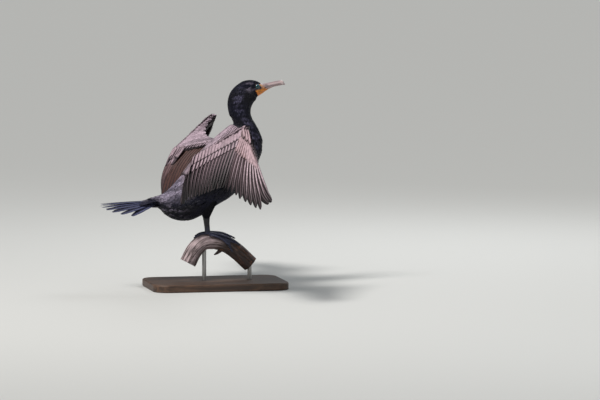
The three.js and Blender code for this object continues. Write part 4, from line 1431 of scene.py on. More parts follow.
        # Outer webs: painted backlight on the left wing, painted sheen on the right.
        outer = tuple(np.array(TONE.painted_backlight) * 0.85) if side > 0 else (0.20, 0.15, 0.17)
        short = Plume(24, point=0.35, roll=8, arch=0.12, middle=(0.030, 0.017, 0.017), outer=outer)
        short = replace(short, outer_from=0.35, outer_to=0.8, rim=TONE.scale_edge)
        spread = unit(self.elbow - self.shoulder)
        near, far = np.array([-44.0, 74, 116]), np.array([-84.0, 116, 80])
        bow = self.normal * 40
        for t in np.linspace(-0.15, 1.0, 8):
            root = self.shoulder + (self.elbow - self.shoulder) * (0.36 + 0.42 * t)
            tip = near + (far - near) * t
            line = [root + (tip - root) * s + bow * s * (1 - s) for s in np.linspace(0, 1, 5)]
            quiver.lay(np.array(line), spread, short, self.spot(0.4 + 0.4 * t, 0.25, side))

    def scapulars(self, quiver: Quiver) -> None:
        """Rows of scaled feathers on the back, from the wing's root to the ridge."""
        kind = Plume(15, point=0.15, roll=3, arch=0.07, middle=(0.27, 0.205, 0.245), outer=TONE.scaled)
        kind = replace(kind, rim=TONE.scale_edge, outer_from=-0.3, rim_from=0.82, tip_from=0.88)
        for row in range(11):
            first = 5.4 + 0.5 * row
            for i in range(11 + row % 2):
                share = (i + 0.5 * (row % 2)) / 11
                steps = np.linspace(first, first - 1.75 + 0.4 * share, 4)
                turns = math.radians(5 + 77 * share) + np.radians(np.linspace(0, 3, 4) * share)
                line = self.body.at(steps, turns, np.array([-0.8, 2.6, 2.8, 1.8]) + 1.6 * share)
                tint = (0.8 + 0.35 * ((row * 7 + i * 3) % 5) / 4) * (0.62 + 0.38 * rise(0, 4, row))
                spot = self.body.spot(steps[:1], turns[:1])[0]
                quiver.lay(line, np.array([0.2, 0.9, -0.7 * share]), kind, spot, tint=tint)

    def lesser(self, side: int, material: Material) -> None:
        """Small scaled coverts over arm, skin fold and hand, on both faces."""
        quiver = Quiver(4, 6, SEED + 30)
        random = np.random.default_rng(SEED + 31)
        small = Plume(11, point=0.05, roll=3, outer_from=-0.4, rim_from=0.8, tip_from=0.84)
        top = replace(small, arch=0.08, middle=(0.32, 0.24, 0.285), outer=TONE.scaled, rim=TONE.scale_edge)
        low = replace(small, arch=0.14, middle=(0.05, 0.038, 0.046), outer=(0.075, 0.056, 0.066))
        low = replace(low, rim=(0.012, 0.009, 0.011))
        places = np.concatenate([np.linspace(0.06, 2.0, 40), np.linspace(2.05, 2.98, 17)])
        for face, kind in ((Face.UPPER, top), (Face.UNDER, low)):
            for place in places:
                reach = self.arm_at(place)[2] + 10 if place <= 2 else 19 * (1 - 0.55 * (place - 2))
                rows = max(int(reach / 5.5), 3)
                for row in range(rows):
                    share = 1.0 - (row + 0.5 * (int(place * 50) % 2)) / rows * 0.82
                    here, ahead, normal = self.surface(place, share, face)
                    length = 13 + 3 * (1 - share) + random.uniform(-1, 1)
                    drift = self.axis * 0.12 if place > 2 else unit(self.wrist - self.shoulder) * 0.10
                    way = unit(-ahead + drift)
                    back = self.surface(place, max(share - length / reach, 0.0), face)[0]
                    rest = unit(back + way * max(length - share * reach, 0) - here)
                    base = here - normal * 0.6 + ahead * 1.5
                    middle, tip = (base + rest * length * t + normal * h for t, h in ((0.5, 1.9), (1, 1.5)))
                    width = np.cross(way, self.normal) * face.value
                    pale = 0.8 + 0.4 * float(waves(here[None], 11, 6.0)[0])
                    spot = self.spot(place, face.value * (0.5 + 0.4 * share), side)
                    quiver.lay(np.array([base, middle, tip]), width, kind, spot, tint=pale)
        quiver.piece(f"wing_{SIDES[side]}_lesser", material, "wing_feathers", side)


@dataclass
class Tail:
    """Stiff tail feathers in a low roof, with the coverts over and under their roots."""

    root: tuple = (-128.0, 80.0)
    pairs: int = 6
    length: float = 131.0
    shorten: float = 0.4
    spread: float = 34.0
    drop: float = 6.0
    droop: float = 21.0
    width: float = 17.5
    layer: float = 0.8

    def line(self, pair: int, side: int) -> Array:
        """Spine of one tail feather."""
        share = pair / (self.pairs - 1)
        angle = math.radians(self.spread * share**1.3)
        length = self.length * (1 - self.shorten * share**2.5)
        root = np.array([self.root[0], side * (4 + 1.5 * pair), self.root[1] - self.layer * pair])
        tip = np.array([root[0] - length * math.cos(angle), side * (8.4 + length * math.sin(angle)), 0.0])
        tip[2] = root[2] - self.drop - self.droop * share**0.9
        sag = np.array([0, 0, 1.5])
        return np.array([root + (tip - root) * t + sag * 4 * t * (1 - t) for t in np.linspace(0, 1, 6)])

    def build(self, material: Material) -> None:
        """Makes tail feathers and their coverts."""
        quiver = Quiver(12, 24, SEED + 40)
        for pair in reversed(range(self.pairs)):
            for side in SIDES:
                roll = -side * (5 + 27 * pair / (self.pairs - 1))
                kind = Plume(self.width, point=0.55, roll=roll, middle=TONE.tail, outer=TONE.tail_edge)
                kind = replace(kind, rim=(0.13, 0.14, 0.235), rim_from=0.94, tip_from=0.985)
                kind = replace(kind, outer_from=0.35, outer_to=0.7)
                spot = np.array([0.04 + 0.01 * pair, 0.60 + 0.02 * side])
                quiver.lay(self.line(pair, side), LEFT, kind, spot, side=side)
        short = Plume(14, point=0.3, arch=0.16, middle=(0.02, 0.019, 0.035), outer=(0.12, 0.10, 0.15))
        short = replace(short, rim=(0.01, 0.01, 0.017))
        for high, low, reach in ((2.5, -3.0, 44), (3.6, 0.5, 30), (-9.0, -9.5, 42), (-14.0, -11.0, 28)):
            over = high > 0
            way, root_fall, tip_fall = (1, 3, 5.5) if over else (-1, -3, -1.0)
            for i in range(9):
                v = i / 4 - 1
                aside, angle = abs(v), math.radians(22 * v)
                root = np.array([self.root[0] + 12, 11 * v, self.root[1] + high * 1.2 - root_fall * aside])
                back, out = reach * math.cos(angle), reach * math.sin(angle)
                tip = np.array([self.root[0] - back, 11 * v + out, self.root[1] + low - tip_fall * aside])
                middle = (root + tip) / 2 + UP * 2.2 * way
                spot = np.array([0.03 + 0.02 * aside, 0.66 + 0.02 * v])
                quiver.lay(np.array([root, middle, tip]), LEFT * way, short, spot)
        quiver.piece("tail_feathers", material, "tail_feathers", 1, ("tail",))


# Perch, legs and feet


@dataclass
class Branch:
    """Bent branch: its centre line and the places on its bark."""

    radius: float = 20.5
    points: Array = table([-47, -71], [-30, -40], [-9, -22], [15, -19.5], [44, -27], [74, -47], [106, -77])

    def __post_init__(self) -> None:
        """Measures the line."""
        before, after = 2 * self.points[0] - self.points[1], 2 * self.points[-1] - self.points[-2]
        padded = np.vstack([before, self.points, after])
        fine = []
        for i in range(1, len(padded) - 2):
            p = padded[i - 1 : i + 3]
            knots = np.concatenate([[0], np.cumsum(np.linalg.norm(np.diff(p, axis=0), axis=1) ** 0.5)])
            for t in np.linspace(knots[1], knots[2], 60, endpoint=False):
                fine.append(self.knot(p, knots, t))
        fine.append(self.points[-1])
        self.fine = np.array(fine)
        self.lengths = np.concatenate([[0], np.cumsum(np.linalg.norm(np.diff(self.fine, axis=0), axis=1))])
        self.start = float(np.interp(0, self.fine[:, 0], self.lengths))
        self.total = float(self.lengths[-1])

    @staticmethod
    def knot(p: Array, k: Array, t: float) -> Array:
        """Point of a centripetal curve between its second and third knots."""
        a = [((k[i + 1] - t) * p[i] + (t - k[i]) * p[i + 1]) / (k[i + 1] - k[i]) for i in range(3)]
        b = [((k[i + 2] - t) * a[i] + (t - k[i]) * a[i + 1]) / (k[i + 2] - k[i]) for i in range(2)]
        return ((k[2] - t) * b[0] + (t - k[1]) * b[1]) / (k[2] - k[1])

    def centre(self, length: float) -> Array:
        """X and Z of the branch's middle at a length from its rear end."""
        kept = np.clip(length, 0, self.total)
        return np.array([np.interp(kept, self.lengths, self.fine[:, k]) for k in (0, 1)])

    def on(self, s: float, degrees: float, height: float) -> Array:
        """Place s along the branch, at an angle from its top and a height over the bark."""
        at = np.clip(self.start + s, 0, self.total)
        x, z = self.centre(at)
        way = unit(self.centre(at + 2) - self.centre(at - 2))
        out = np.array([-way[1], 0, way[0]])
        a = math.radians(degrees)
        return np.array([x, 0, z]) + (self.radius + height) * (math.cos(a) * out + math.sin(a) * LEFT)

    def relief(self, s: float, degrees: float) -> float:
        """How far the weathered wood lies under the plain round bark."""
        a = math.radians(degrees)
        long = noise.fractal(Vector((s / 60, 3.1 * math.cos(a), 3.1 * math.sin(a))), 1.0, 2.0, 4)
        split = abs(noise.noise(Vector((s / 90, 2.2 * math.cos(a) + 7, 2.2 * math.sin(a)))))
        groove = max(0.0, 1 - split / 0.07)
        return -0.9 + 0.9 * long - 2.6 * groove

    def build(self, bark: Material, sawn: Material) -> None:
        """Makes the weathered branch with its spur and sawn ends."""
        sides, count = 96, 170
        steps = np.linspace(-self.start, self.total - self.start, count)
        turns = 360 * (np.arange(sides) + 0.5) / sides
        rings = []
        for s in steps:
            under = bump(-12, 60, s, 8)
            ring = []
            for degrees in turns:
                fold = min(degrees, 360 - degrees)
                held = under * (1 - rise(60, 110, fold))
                depth = self.relief(s, degrees)
                ring.append(self.on(s, degrees, min(depth * (1 - 0.6 * held), 0.1)))
            rings.append(np.array(ring))
        mesh = Loft(rings).cap(1).mesh()
        self.dress(mesh)
        mesh.materials.append(bark)
        finished("perch_branch", mesh, sawn, ("perch",))
        root, tip = self.on(48, 172, -12), self.on(24, 172, 13.2)
        line = np.array([root, root + (tip - root) * 0.35, root + (tip - root) * 0.7 + UP * -1, tip])
        steps = np.linspace(0, 3, 14)
        radii = np.interp(steps, [0, 1.2, 2.2, 3], [6.3, 5.0, 3.0, 0.9])
        spur = Loft(tube(catmull(line, steps), radii, 16)).cap().mesh()
        self.dress(spur)
        finished("perch_spur", spur, bark)

    def dress(self, mesh: Mesh) -> None:
        """Colours the wood, with a painted shadow of the bird and painted shade underneath, and lays its UV
        map.
        """
        points = points_of(mesh)
        skip = 6
        away = np.linalg.norm(points[:, None, [0, 2]] - self.fine[None, ::skip], axis=2)
        near = np.minimum(np.argmin(away, axis=1) * skip, len(self.fine) - 1)
        s = self.lengths[near] - self.start
        centre = self.fine[near]
        radial = points - np.stack([centre[:, 0], 0 * s, centre[:, 1]], 1)
        way = np.gradient(self.fine, axis=0)[near]
        out = unit(np.stack([-way[:, 1], way[:, 0]], 1))
        turn = np.arctan2(points[:, 1], np.sum(radial[:, [0, 2]] * out, axis=1))
        pale, brown, orange = (0.33, 0.255, 0.265), (0.030, 0.017, 0.012), (0.34, 0.12, 0.04)
        # Painted shadow: the stretch ahead of the feet, under the bird, turns dark brown as the bird's cast
        # shadow, its top a little less; the underside is darkened as painted shade.
        right = rise(4, 50, s) * (1 - 0.3 * rise(0.4, 1.0, np.cos(turn)))
        dark = right + 0.35 * rise(0.2, 0.9, -np.cos(turn))
        colour = blend(pale, brown, dark)
        depth = self.radius - np.linalg.norm(radial, axis=1)
        colour = blend(colour, orange, 0.75 * bump(1.6, 2.9, depth, 0.5) * rise(18, 50, s))
        # Painted shade: the deepest grooves are darkened nearly black.
        colour = blend(colour, (0.02, 0.012, 0.008), rise(2.8, 3.6, depth) * (1 - rise(6, 9, depth)))
        colour = colour * (0.75 + 0.5 * waves(points, 13, 8.0))[:, None]
        paint(mesh, colour)
        flat = np.stack([np.abs(turn) / np.pi, s / 130], 1)[corners_of(mesh)]
        mesh.uv_layers["Vane"].uv.foreach_set("vector", flat.astype(np.float32).ravel())


@dataclass
class Legs:
    """Thighs, shanks and webbed feet that follow the bark."""

    branch: Branch
    step: float = 4.0
    toes: dict = field(
        default_factory=lambda: {
            "hallux": (np.array([[0, 34], [-10, 22], [-20, 14]], float), 2.6, 3),
            "inner": (np.array([[4, 34], [30, 20], [54, 13]], float), 3.0, 4),
            "middle": (np.array([[5, 40], [38, 44], [72, 46]], float), 3.4, 5),
            "outer": (np.array([[3, 48], [30, 68], [66, 108]], float), 3.4, 6),
        }
    )
    # Columns: X, distance from the middle, Z, half length, half width
    thigh: Array = table([-2, 30, 84, 24, 17], [-4, 25, 58, 14, 12], [-4.5, 21.5, 43, 8, 6.8])
    shank: Array = table(
        [-4, 21.5, 44.0, 7.2, 5.4],
        [-3, 17, 26, 5.9, 4.1],
        [-1, 12.5, 7.5, 6.2, 4.3],
        [0.5, 12.8, -1.0, 8.0, 5.6],
    )

    def ahead(self, side: int) -> float:
        """How far ahead the foot on that side stands."""
        return self.step if side > 0 else 0.0

    def track(self, name: str, share: float) -> Array:
        """Distance and angle of a toe's line at a share of its length."""
        return catmull(self.toes[name][0], 2 * share)[0]

    def point(self, name: str, share: float, side: int, height: float) -> Array:
        """A place over the bark on a toe's line."""
        s, angle = self.track(name, share)
        return self.branch.on(s + self.ahead(side), side * angle, height)

    def limb(self, rows: Array, side: int, steps: int, sides: int) -> list[Array]:
        """Rings of a leg part."""
        angle = ring_turns(sides, 0.5)
        rings = []
        for x, y, z, along, across in catmull(rows, np.linspace(0, len(rows) - 1, steps)):
            length = x + self.ahead(side) + along * np.cos(angle)
            width = side * (y + across * np.sin(angle))
            rings.append(np.stack([length, width, np.full(sides, z)], 1))
        return rings

    def flesh(self) -> list[list[Array]]:
        """Rings of both thighs for the skin."""
        rows = self.thigh.copy()
        rows[:, 3:] -= [[2.2], [1.6], [0.6]]
        return [self.limb(rows, side, 16, 24) for side in SIDES]

    def toe(self, name: str, side: int) -> list[Array]:
        """Rings of one toe with a scute at each joint."""
        radius, joints = self.toes[name][1:]
        shares = np.linspace(0, 1.02, 40)
        knuckle = 0.5 + 0.5 * np.cos(shares * joints * np.pi)
        radii = radius * (1.12 - 0.42 * shares) * (0.88 + 0.12 * knuckle) * (1 + 0.025 * np.sin(shares * 120))
        radii[-1] *= 0.35
        line = np.array([self.point(name, t, side, r + 0.9) for t, r in zip(shares, radii)])
        return tube(line, radii, 14, 0.86)

    def claw(self, name: str, side: int) -> list[Array]:
        """Rings of one claw, curved down to the bark."""
        radius = self.toes[name][1]
        length = np.linalg.norm(self.point(name, 1, 1, 0) - self.point(name, 0, 1, 0))
        steps = np.linspace(0, 1, 9)
        shares = 1 + (-0.03 + (9 / length + 0.03) * steps)
        lift = radius * 0.72 + 0.8 + 1.9 * np.sin(steps * 2.2) - 1.9 * steps
        line = np.array([self.point(name, t, side, h) for t, h in zip(shares, lift)])
        return tube(line, 1.9 * (1 - steps) ** 0.7 + 0.2, 10)

    def web(self, first: str, second: str, side: int) -> Mesh:
        """Web between two toes: a grid that follows the bark, given its thickness.

        Args:
            first: One toe.
            second: The other toe.
            side: 1 for the left foot.

        Returns:
            The mesh.
        """
        bm = bmesh.new()
        bm.loops.layers.uv.new("Vane")
        bmesh.ops.create_grid(bm, x_segments=16, y_segments=20, size=1.0)
        for vert in bm.verts:
            v, t = vert.co.x * 0.5 + 0.5, vert.co.y * 0.5 + 0.5
            share = 0.04 + t * (0.92 - 0.2 * math.sin(math.pi * v) - 0.04)
            (s1, a1), (s2, a2) = self.track(first, share), self.track(second, share)
            fold = 0.5 * math.sin(v * 9.4) * math.sin(math.pi * v) * t
            s, angle = s1 + (s2 - s1) * v + self.ahead(side), side * (a1 + (a2 - a1) * v)
            vert.co = placed(self.branch.on(s, angle, 1.5 + fold + 1.2 * (2 * v - 1) ** 4))
        bmesh.ops.recalc_face_normals(bm, faces=bm.faces)
        bmesh.ops.solidify(bm, geom=list(bm.faces), thickness=0.0008)
        bmesh.ops.recalc_face_normals(bm, faces=bm.faces)
        return meshed(bm)

    def build(self, skin: Material, horn: Material) -> None:
        """Makes shanks, toes, webs and claws of both sides."""
        webs = (("hallux", "inner"), ("inner", "middle"), ("middle", "outer"))
        for side, name in SIDES.items():
            rings = self.limb(self.shank, side, 60, 28)
            for i, ring in enumerate(rings[:52]):
                middle = ring.mean(axis=0)
                rings[i] = middle + (ring - middle) * (1 + 0.022 * abs(math.sin(i * 0.9)))
            shank = Loft(rings).cap().mesh()
            self.tint(shank)
            finished(f"shank_{name}", shank, skin, (f"tarsus_{name}",))
            parts = [Loft(self.toe(toe, side)).cap().mesh() for toe in self.toes]
            parts += [self.web(*pair, side) for pair in webs]
            foot = joined(parts)
            self.tint(foot)
            finished(f"webbed_foot_{name}", foot, skin, (f"foot_{name}",))
            claws = joined([Loft(self.claw(toe, side)).cap().mesh() for toe in self.toes])
            finished(f"claws_{name}", claws, horn)

    def tint(self, mesh: Mesh) -> None:
        """Blue-black skin, bluer on the webs."""
        points = points_of(mesh)
        low = 1 - rise(4, 22, points[:, 2])
        blue = low * (0.45 + 0.55 * waves(points, 9, 9.0))
        paint(mesh, blend((0.010, 0.010, 0.015), (0.030, 0.034, 0.085), blue))


# Head


@dataclass
class Head:
    """Bill, throat pouch, bare face and eyes."""

    body: Body
    eye: tuple = (121.5, 8.9, 351.0)
    eye_radius: float = 6.2
    ridge: Array = table(
        [127, 360.5], [134, 358], [147, 358.8], [160, 361.5], [173, 364], [182, 364.6], [191, 360]
    )

    def edges(self, x: float) -> tuple[float, float, float]:
        """Top, bottom and half width of the bill or jaw at a place along it."""
        rows = self.body.stations
        fine = catmull(rows, np.linspace(20, 30, 200))
        top = float(np.interp(x, fine[:, 0], fine[:, 1]))
        low = float(np.interp(x, fine[:, 2], fine[:, 3]))
        half = float(np.interp(x, (fine[:, 0] + fine[:, 2]) / 2, fine[:, 4]))
        return top, low, half

    def upper(self, horn: Material) -> None:
        """Upper bill: a ridge with side grooves and a hooked nail."""
        angle = ring_turns(36)
        rings = []
        for t in np.linspace(0, 1, 64):
            x = 127 + 64.5 * t
            top, _, half = self.edges(min(x, 189.5))
            low = gape(x) + 0.25
            hook = rise(180, 190.5, x)
            low -= 3.2 * hook * (1 - rise(190, 191.6, x))
            top -= 3.6 * rise(187, 191.5, x)
            middle, high = (top + low) / 2, max((top - low) / 2, 0.35)
            slim = 0.72 + 0.28 * rise(126, 133, x)
            half = max(half * (1 - 0.55 * rise(186, 191.6, x)), 0.5) * (1 + 0.06 * rise(182, 187, x)) * slim
            groove = 0.10 * bump(0.32, 0.62, np.sin(angle), 0.1) * (1 - rise(178, 186, x))
            y = half * powered(np.cos(angle), 0.8) * (1 - groove)
            z = middle + high * slim * powered(np.sin(angle), np.where(np.sin(angle) > 0, 1.0, 0.55))
            rings.append(np.stack([np.full(len(angle), x), y, z], 1))
        mesh = Loft(rings).cap().mesh()
        points = points_of(mesh)
        x, z = points[:, 0], points[:, 2]
        tops = np.interp(x, self.ridge[:, 0], self.ridge[:, 1])
        ridge = 1 - rise(1.0, 4.2, tops - z)
        dark = 0.6 * ridge * (1 - rise(172, 186, x))
        colour = blend((0.50, 0.38, 0.385), (0.16, 0.12, 0.135), dark)
        side_line = np.exp(-((z - gape(x) - 3.2) ** 2)) * bump(136, 180, x, 4)
        colour = blend(colour, (0.10, 0.065, 0.075), 0.8 * side_line)
        colour = blend(colour, (0.46, 0.22, 0.075), (1 - rise(131, 143, x)) * rise(2.0, 5.0, tops - z) * 0.85)
        # Painted highlight: the hooked tip is lightened.
        colour = blend(colour, (0.55, 0.45, 0.44), 0.7 * rise(176, 186, x))
        slot = np.exp(-(((x - 143) / 5.0) ** 2) - ((z - 354.2) / 0.8) ** 2) * (np.abs(points[:, 1]) > 2)
        colour = blend(colour, (0.01, 0.008, 0.008), np.clip(slot * 1.4, 0, 1))
        paint(mesh, colour)
        finished("upper_bill", mesh, horn, ("bill_upper",))

    def lower(self, horn: Material) -> None:
        """Lower bill: a narrow strip of horn under the mouth line."""
        angle = ring_turns(28)
        rings = []
        for t in np.linspace(0, 1, 52):
            x = 121 + 65 * t
            _, low, half = self.edges(x)
            top = gape(x) - 0.35
            bottom = max(low, seam(x) - 0.3) if x < 158 else low
            bottom = min(bottom, top - 0.7)
            half = max(half * (0.98 - 0.5 * rise(182, 186.5, x)), 0.6)
            middle, high = (top + bottom) / 2, (top - bottom) / 2
            y, z = half * powered(np.cos(angle), 0.7), middle + high * powered(np.sin(angle), 0.7)
            rings.append(np.stack([np.full(len(angle), x), y, z], 1))
        mesh = Loft(rings).cap().mesh()
        points = points_of(mesh)
        orange = 1 - rise(132, 150, points[:, 0])
        paint(mesh, blend((0.36, 0.245, 0.235), (0.50, 0.17, 0.035), orange))
        finished("lower_bill", mesh, horn, ("bill_lower",))

    def pouch(self, skin: Material) -> None:
        """Throat pouch of bare orange skin, folded and pebbled."""
        turns = np.linspace(math.radians(70), math.radians(290), 40)
        rings = []
        for station in np.linspace(21.9, 25.7, 44):
            surface = self.body.at(np.full(len(turns), station), turns, 0.15)
            x, z = surface[:, 0], surface[:, 2]
            brim = np.where(x < 117, gape(x) - 0.4, seam(x))
            fold = 0.22 * np.sin(x * 1.1 + 0.35 * z) * bump(324, 340, z, 3)
            surface[:, 1] *= 1 + fold / 14
            over = np.maximum(z - brim, 0)
            surface[:, 2] = z - over
            surface[:, 1] *= np.where(over > 0, np.maximum(1 - over * 0.16, 0.1), 1)
            surface[:, 0] = np.maximum(x, 112.8 + (GAPE[1] - surface[:, 2]) * POUCH_SLOPE)
            rings.append(surface)
        mesh = Loft(rings).cap().mesh()
        points = points_of(mesh)
        x, z = points[:, 0], points[:, 2]
        colour = blend((0.74, 0.225, 0.014), (0.50, 0.19, 0.05), rise(140, 156, x))
        # Painted shade along the pouch's rear edge, where the head feathers overhang it.
        rear = 1 - rise(0.0, 3.0, x - 113 - (GAPE[1] - z) * POUCH_SLOPE)
        colour = blend(colour, (0.22, 0.10, 0.03), 0.6 * rear)
        paint(mesh, colour * (0.85 + 0.3 * waves(points, 4, 10.0))[:, None])
        finished("throat_skin", mesh, skin, ("throat_pouch",))

    def face(self, skin: Material) -> None:
        """Bare skin between eye and bill on both sides, with the pale strip over the eye and the gape."""
        meshes = []
        for side in SIDES:
            bm = bmesh.new()
            bm.loops.layers.uv.new("Vane")
            bmesh.ops.create_grid(bm, x_segments=70, y_segments=56, size=1.0)
            stations = np.array([21.7 + 2.9 * (v.co.x * 0.5 + 0.5) for v in bm.verts])
            turns = np.array([math.radians(24 + 92 * (v.co.y * 0.5 + 0.5)) for v in bm.verts])
            rim = np.array([max(abs(v.co.x), abs(v.co.y)) for v in bm.verts])
            lift = 0.15 - 1.2 * rise(0.86, 1.0, rim) - 1.3 * self.body.keep(stations, side * turns)
            places = self.body.at(stations, side * turns, lift)
            inside = 1 - rise(5.0, 6.8, np.hypot(places[:, 0] - self.eye[0], places[:, 2] - self.eye[2]))
            places[:, 1] -= side * 2.2 * inside
            for vert, place in zip(bm.verts, placed(places)):
                vert.co = place
            for item in bm.faces:
                if item.normal.y * side < 0:
                    item.normal_flip()
            bmesh.ops.solidify(bm, geom=list(bm.faces), thickness=0.0003)
            meshes.append(meshed(bm))
        mesh = joined(meshes)
        points = points_of(mesh)
        x, z = points[:, 0], points[:, 2]
        mouth = gape(x)
        colour = (0.020, 0.018, 0.022)
        strip = bump(117.5, 136, x, 1.2) * bump(-1.35, 1.25, z - 355.6 + 0.06 * (x - 118), 0.7)
        colour = blend(colour, (0.72, 0.33, 0.035), strip)
        lores = rise(130.5, 134, x) * bump(344.5, 354.0, z, 1.0)
        colour = blend(colour, (0.50, 0.21, 0.09), 0.85 * lores)
        corner = rise(-0.6, 0.8, x - 112.3 - POUCH_SLOPE * np.maximum(GAPE[1] - z, 0))
        corner = corner * (1 - rise(0.1, 1.5, z - mouth))
        colour = blend(colour, (0.74, 0.24, 0.018), corner)
        line = np.exp(-(((z - mouth) / 0.5) ** 2)) * rise(112, 114, x)
        colour = blend(colour, (0.03, 0.01, 0.006), line)
        paint(mesh, colour * (0.85 + 0.3 * waves(points, 3, 11.0))[:, None])
        finished("bare_face", mesh, skin)

    def eyes(self, iris: Material, skin: Material) -> None:
        """Eyeballs with a beaded pale blue ring and dark lids."""
        for side, name in SIDES.items():
            centre = np.array([self.eye[0], side * self.eye[1], self.eye[2]])
            bm = bmesh.new()
            bmesh.ops.create_uvsphere(bm, u_segments=40, v_segments=28, radius=self.eye_radius / MM_PER_M)
            bmesh.ops.rotate(bm, verts=bm.verts, matrix=Matrix.Rotation(-side * math.pi / 2, 3, "X"))
            bmesh.ops.translate(bm, verts=bm.verts, vec=Vector(placed(centre)))
            finished(f"eyeball_{name}", meshed(bm), iris, (f"eye_{name}",))
        parts, tones = [], []
        turns = ring_turns(80)
        rings = (
            (5.1, 0.75, (0.012, 0.015, 0.022), 0, 3.5),
            (4.5, 0.3, (0.01, 0.01, 0.012), 0, 4.2),
            (6.1, 0.62, (0.13, 0.20, 0.30), 26, 3.2),
        )
        for side in SIDES:
            for radius, thick, tone, beads, out in rings:
                x, z = self.eye[0] + radius * np.cos(turns), self.eye[2] + 0.92 * radius * np.sin(turns)
                circle = np.stack([x, np.full(len(turns), side * (self.eye[1] + out)), z], 1)
                beaded = 0.45 * np.abs(np.sin(turns * beads / 2)) - 0.2 if beads else 0 * turns
                made = Loft(tube(circle, thick * (1 + beaded), 8, closed=True)).weld().mesh()
                parts.append(made)
                tones.append(np.tile(tone, (len(made.vertices), 1)))
        ring = joined(parts)
        paint(ring, np.concatenate(tones))
        finished("eye_rings", ring, skin)


# Skin and thigh coat


@dataclass
class Skin:
    """One skin under all feathers, with the same markings and painted sheen as the coat."""

    body: Body
    wing: Wing
    legs: Legs
    voxel: float = 0.0017
    smoothings: int = 3

    def build(self, material: Material) -> None:
        """Joins the flesh of trunk, arms and thighs into one closed surface."""
        meshes = [Loft(rings).cap().mesh() for rings in self.body.flesh() + self.legs.flesh()]
        for band in self.wing.flesh():
            for side in SIDES:
                meshes.append(Loft([ring * [1, side, 1] for ring in band]).cap().mesh())
        whole = linked("flesh", joined(meshes))
        remesh = whole.modifiers.new("closed", "REMESH")
        remesh.mode, remesh.voxel_size, remesh.use_smooth_shade = "VOXEL", self.voxel, True
        graph = bpy.context.evaluated_depsgraph_get()
        mesh = bpy.data.meshes.new_from_object(whole.evaluated_get(graph))
        bpy.data.objects.remove(whole)
        bm = bmesh.new()
        bm.from_mesh(mesh)
        axes = {f"use_axis_{axis}": True for axis in "xyz"}
        for _ in range(self.smoothings):
            bmesh.ops.smooth_vert(bm, verts=bm.verts, factor=0.5, **axes)
        bm.to_mesh(mesh)
        bm.free()
        mesh.polygons.foreach_set("use_smooth", np.ones(len(mesh.polygons), bool))
        self.mark(mesh)
        finished("skin", mesh, material, ("torso", "neck", "head", "thigh_left", "thigh_right"))

    def mark(self, mesh: Mesh) -> None:
        """Lays the unwrap and the markings, painted sheen included, from the nearest place of the outline."""
        turns = np.linspace(-np.pi, np.pi, 72, endpoint=False)
        grid_s, grid_a = (part.ravel() for part in np.meshgrid(np.linspace(0, 24.5, 200), turns))
        samples = self.body.at(grid_s, grid_a, -2.0)
        tree = KDTree(len(samples))
        for i, place in enumerate(samples):
            tree.insert(place, i)
        tree.balance()
        points = points_of(mesh)
        nearest = np.array([tree.find(p)[1] for p in points])
        station, angle = grid_s[nearest], grid_a[nearest]
        tone = self.body.shade(station, angle)[0]
        arm = rise(58, 66, np.abs(points[:, 1]))
        tone = blend(tone, (0.10, 0.075, 0.085), arm)
        paint(mesh, tone * 0.75)
        spots = self.body.spot(station, angle)
        out = 0.44 * np.clip((np.abs(points[:, 1]) - 40) / 270, 0, 1)
        high = 0.3 * np.clip((points[:, 2] - 150) / 120, 0, 1)
        wing = np.stack([0.03 + 0.5 * (points[:, 1] < 0) + out, 0.56 + high], 1)
        spots = np.where(arm[:, None] > 0.5, wing, spots)
        loops = corners_of(mesh)
        corners = spots[loops]
        starts = np.zeros(len(mesh.polygons), np.int32)
        mesh.polygons.foreach_get("loop_start", starts)
        owner = np.searchsorted(starts, np.arange(len(loops)), side="right") - 1
        first = corners[starts[owner]]
        corners = np.where(np.abs(corners - first).max(axis=1, keepdims=True) > 0.1, first, corners)
        add_uv(mesh, "OFBake", corners)


def thigh_coat(legs: Legs, template: Template, material: Material) -> None:
    """Small black feathers down both thighs."""
    random = np.random.default_rng(SEED + 50)
    sheaf = Sheaf(template)
    for side in SIDES:
        rings = np.array(legs.limb(legs.thigh, side, 40, 60))
        steps = np.arange(0, 39, 2)
        for row in steps:
            count = 26 - int(12 * row / 40)
            for k in range(count):
                j = int((k + 0.5 * (row // 2 % 2)) * 60 / count) % 60
                here, below = rings[row, j], rings[min(row + 1, 39), j]
                middle = rings[row].mean(axis=0)
                along = unit(below - here + np.array([0, 0, -1e-3]))
                out = unit((here - middle) * [1, 1, 0])
                across = unit(np.cross(along, out))
                length, width = 12 - 4 * row / 40, 7 - 3 * row / 40
                u, v = template.u[:, None], template.v[:, None]
                wide = outline(template.v, 0.2)[:, None]
                flat = along * length * v + across * (width / 2) * wide * u
                places = here - out * 1.6 + flat + out * (1.9 * rising(v))
                tone = np.array(TONE.black) * random.uniform(0.8, 1.6)
                spot = np.array([0.5 + 0.2 * (side > 0) + 0.15 * j / 60, 0.52 + 0.03 * row / 40])
                sheaf.stamp(places[None], np.tile(tone, (1, len(template.u), 1)), spot[None])
    finished("coat_thighs", sheaf.mesh(), material)


# Stage


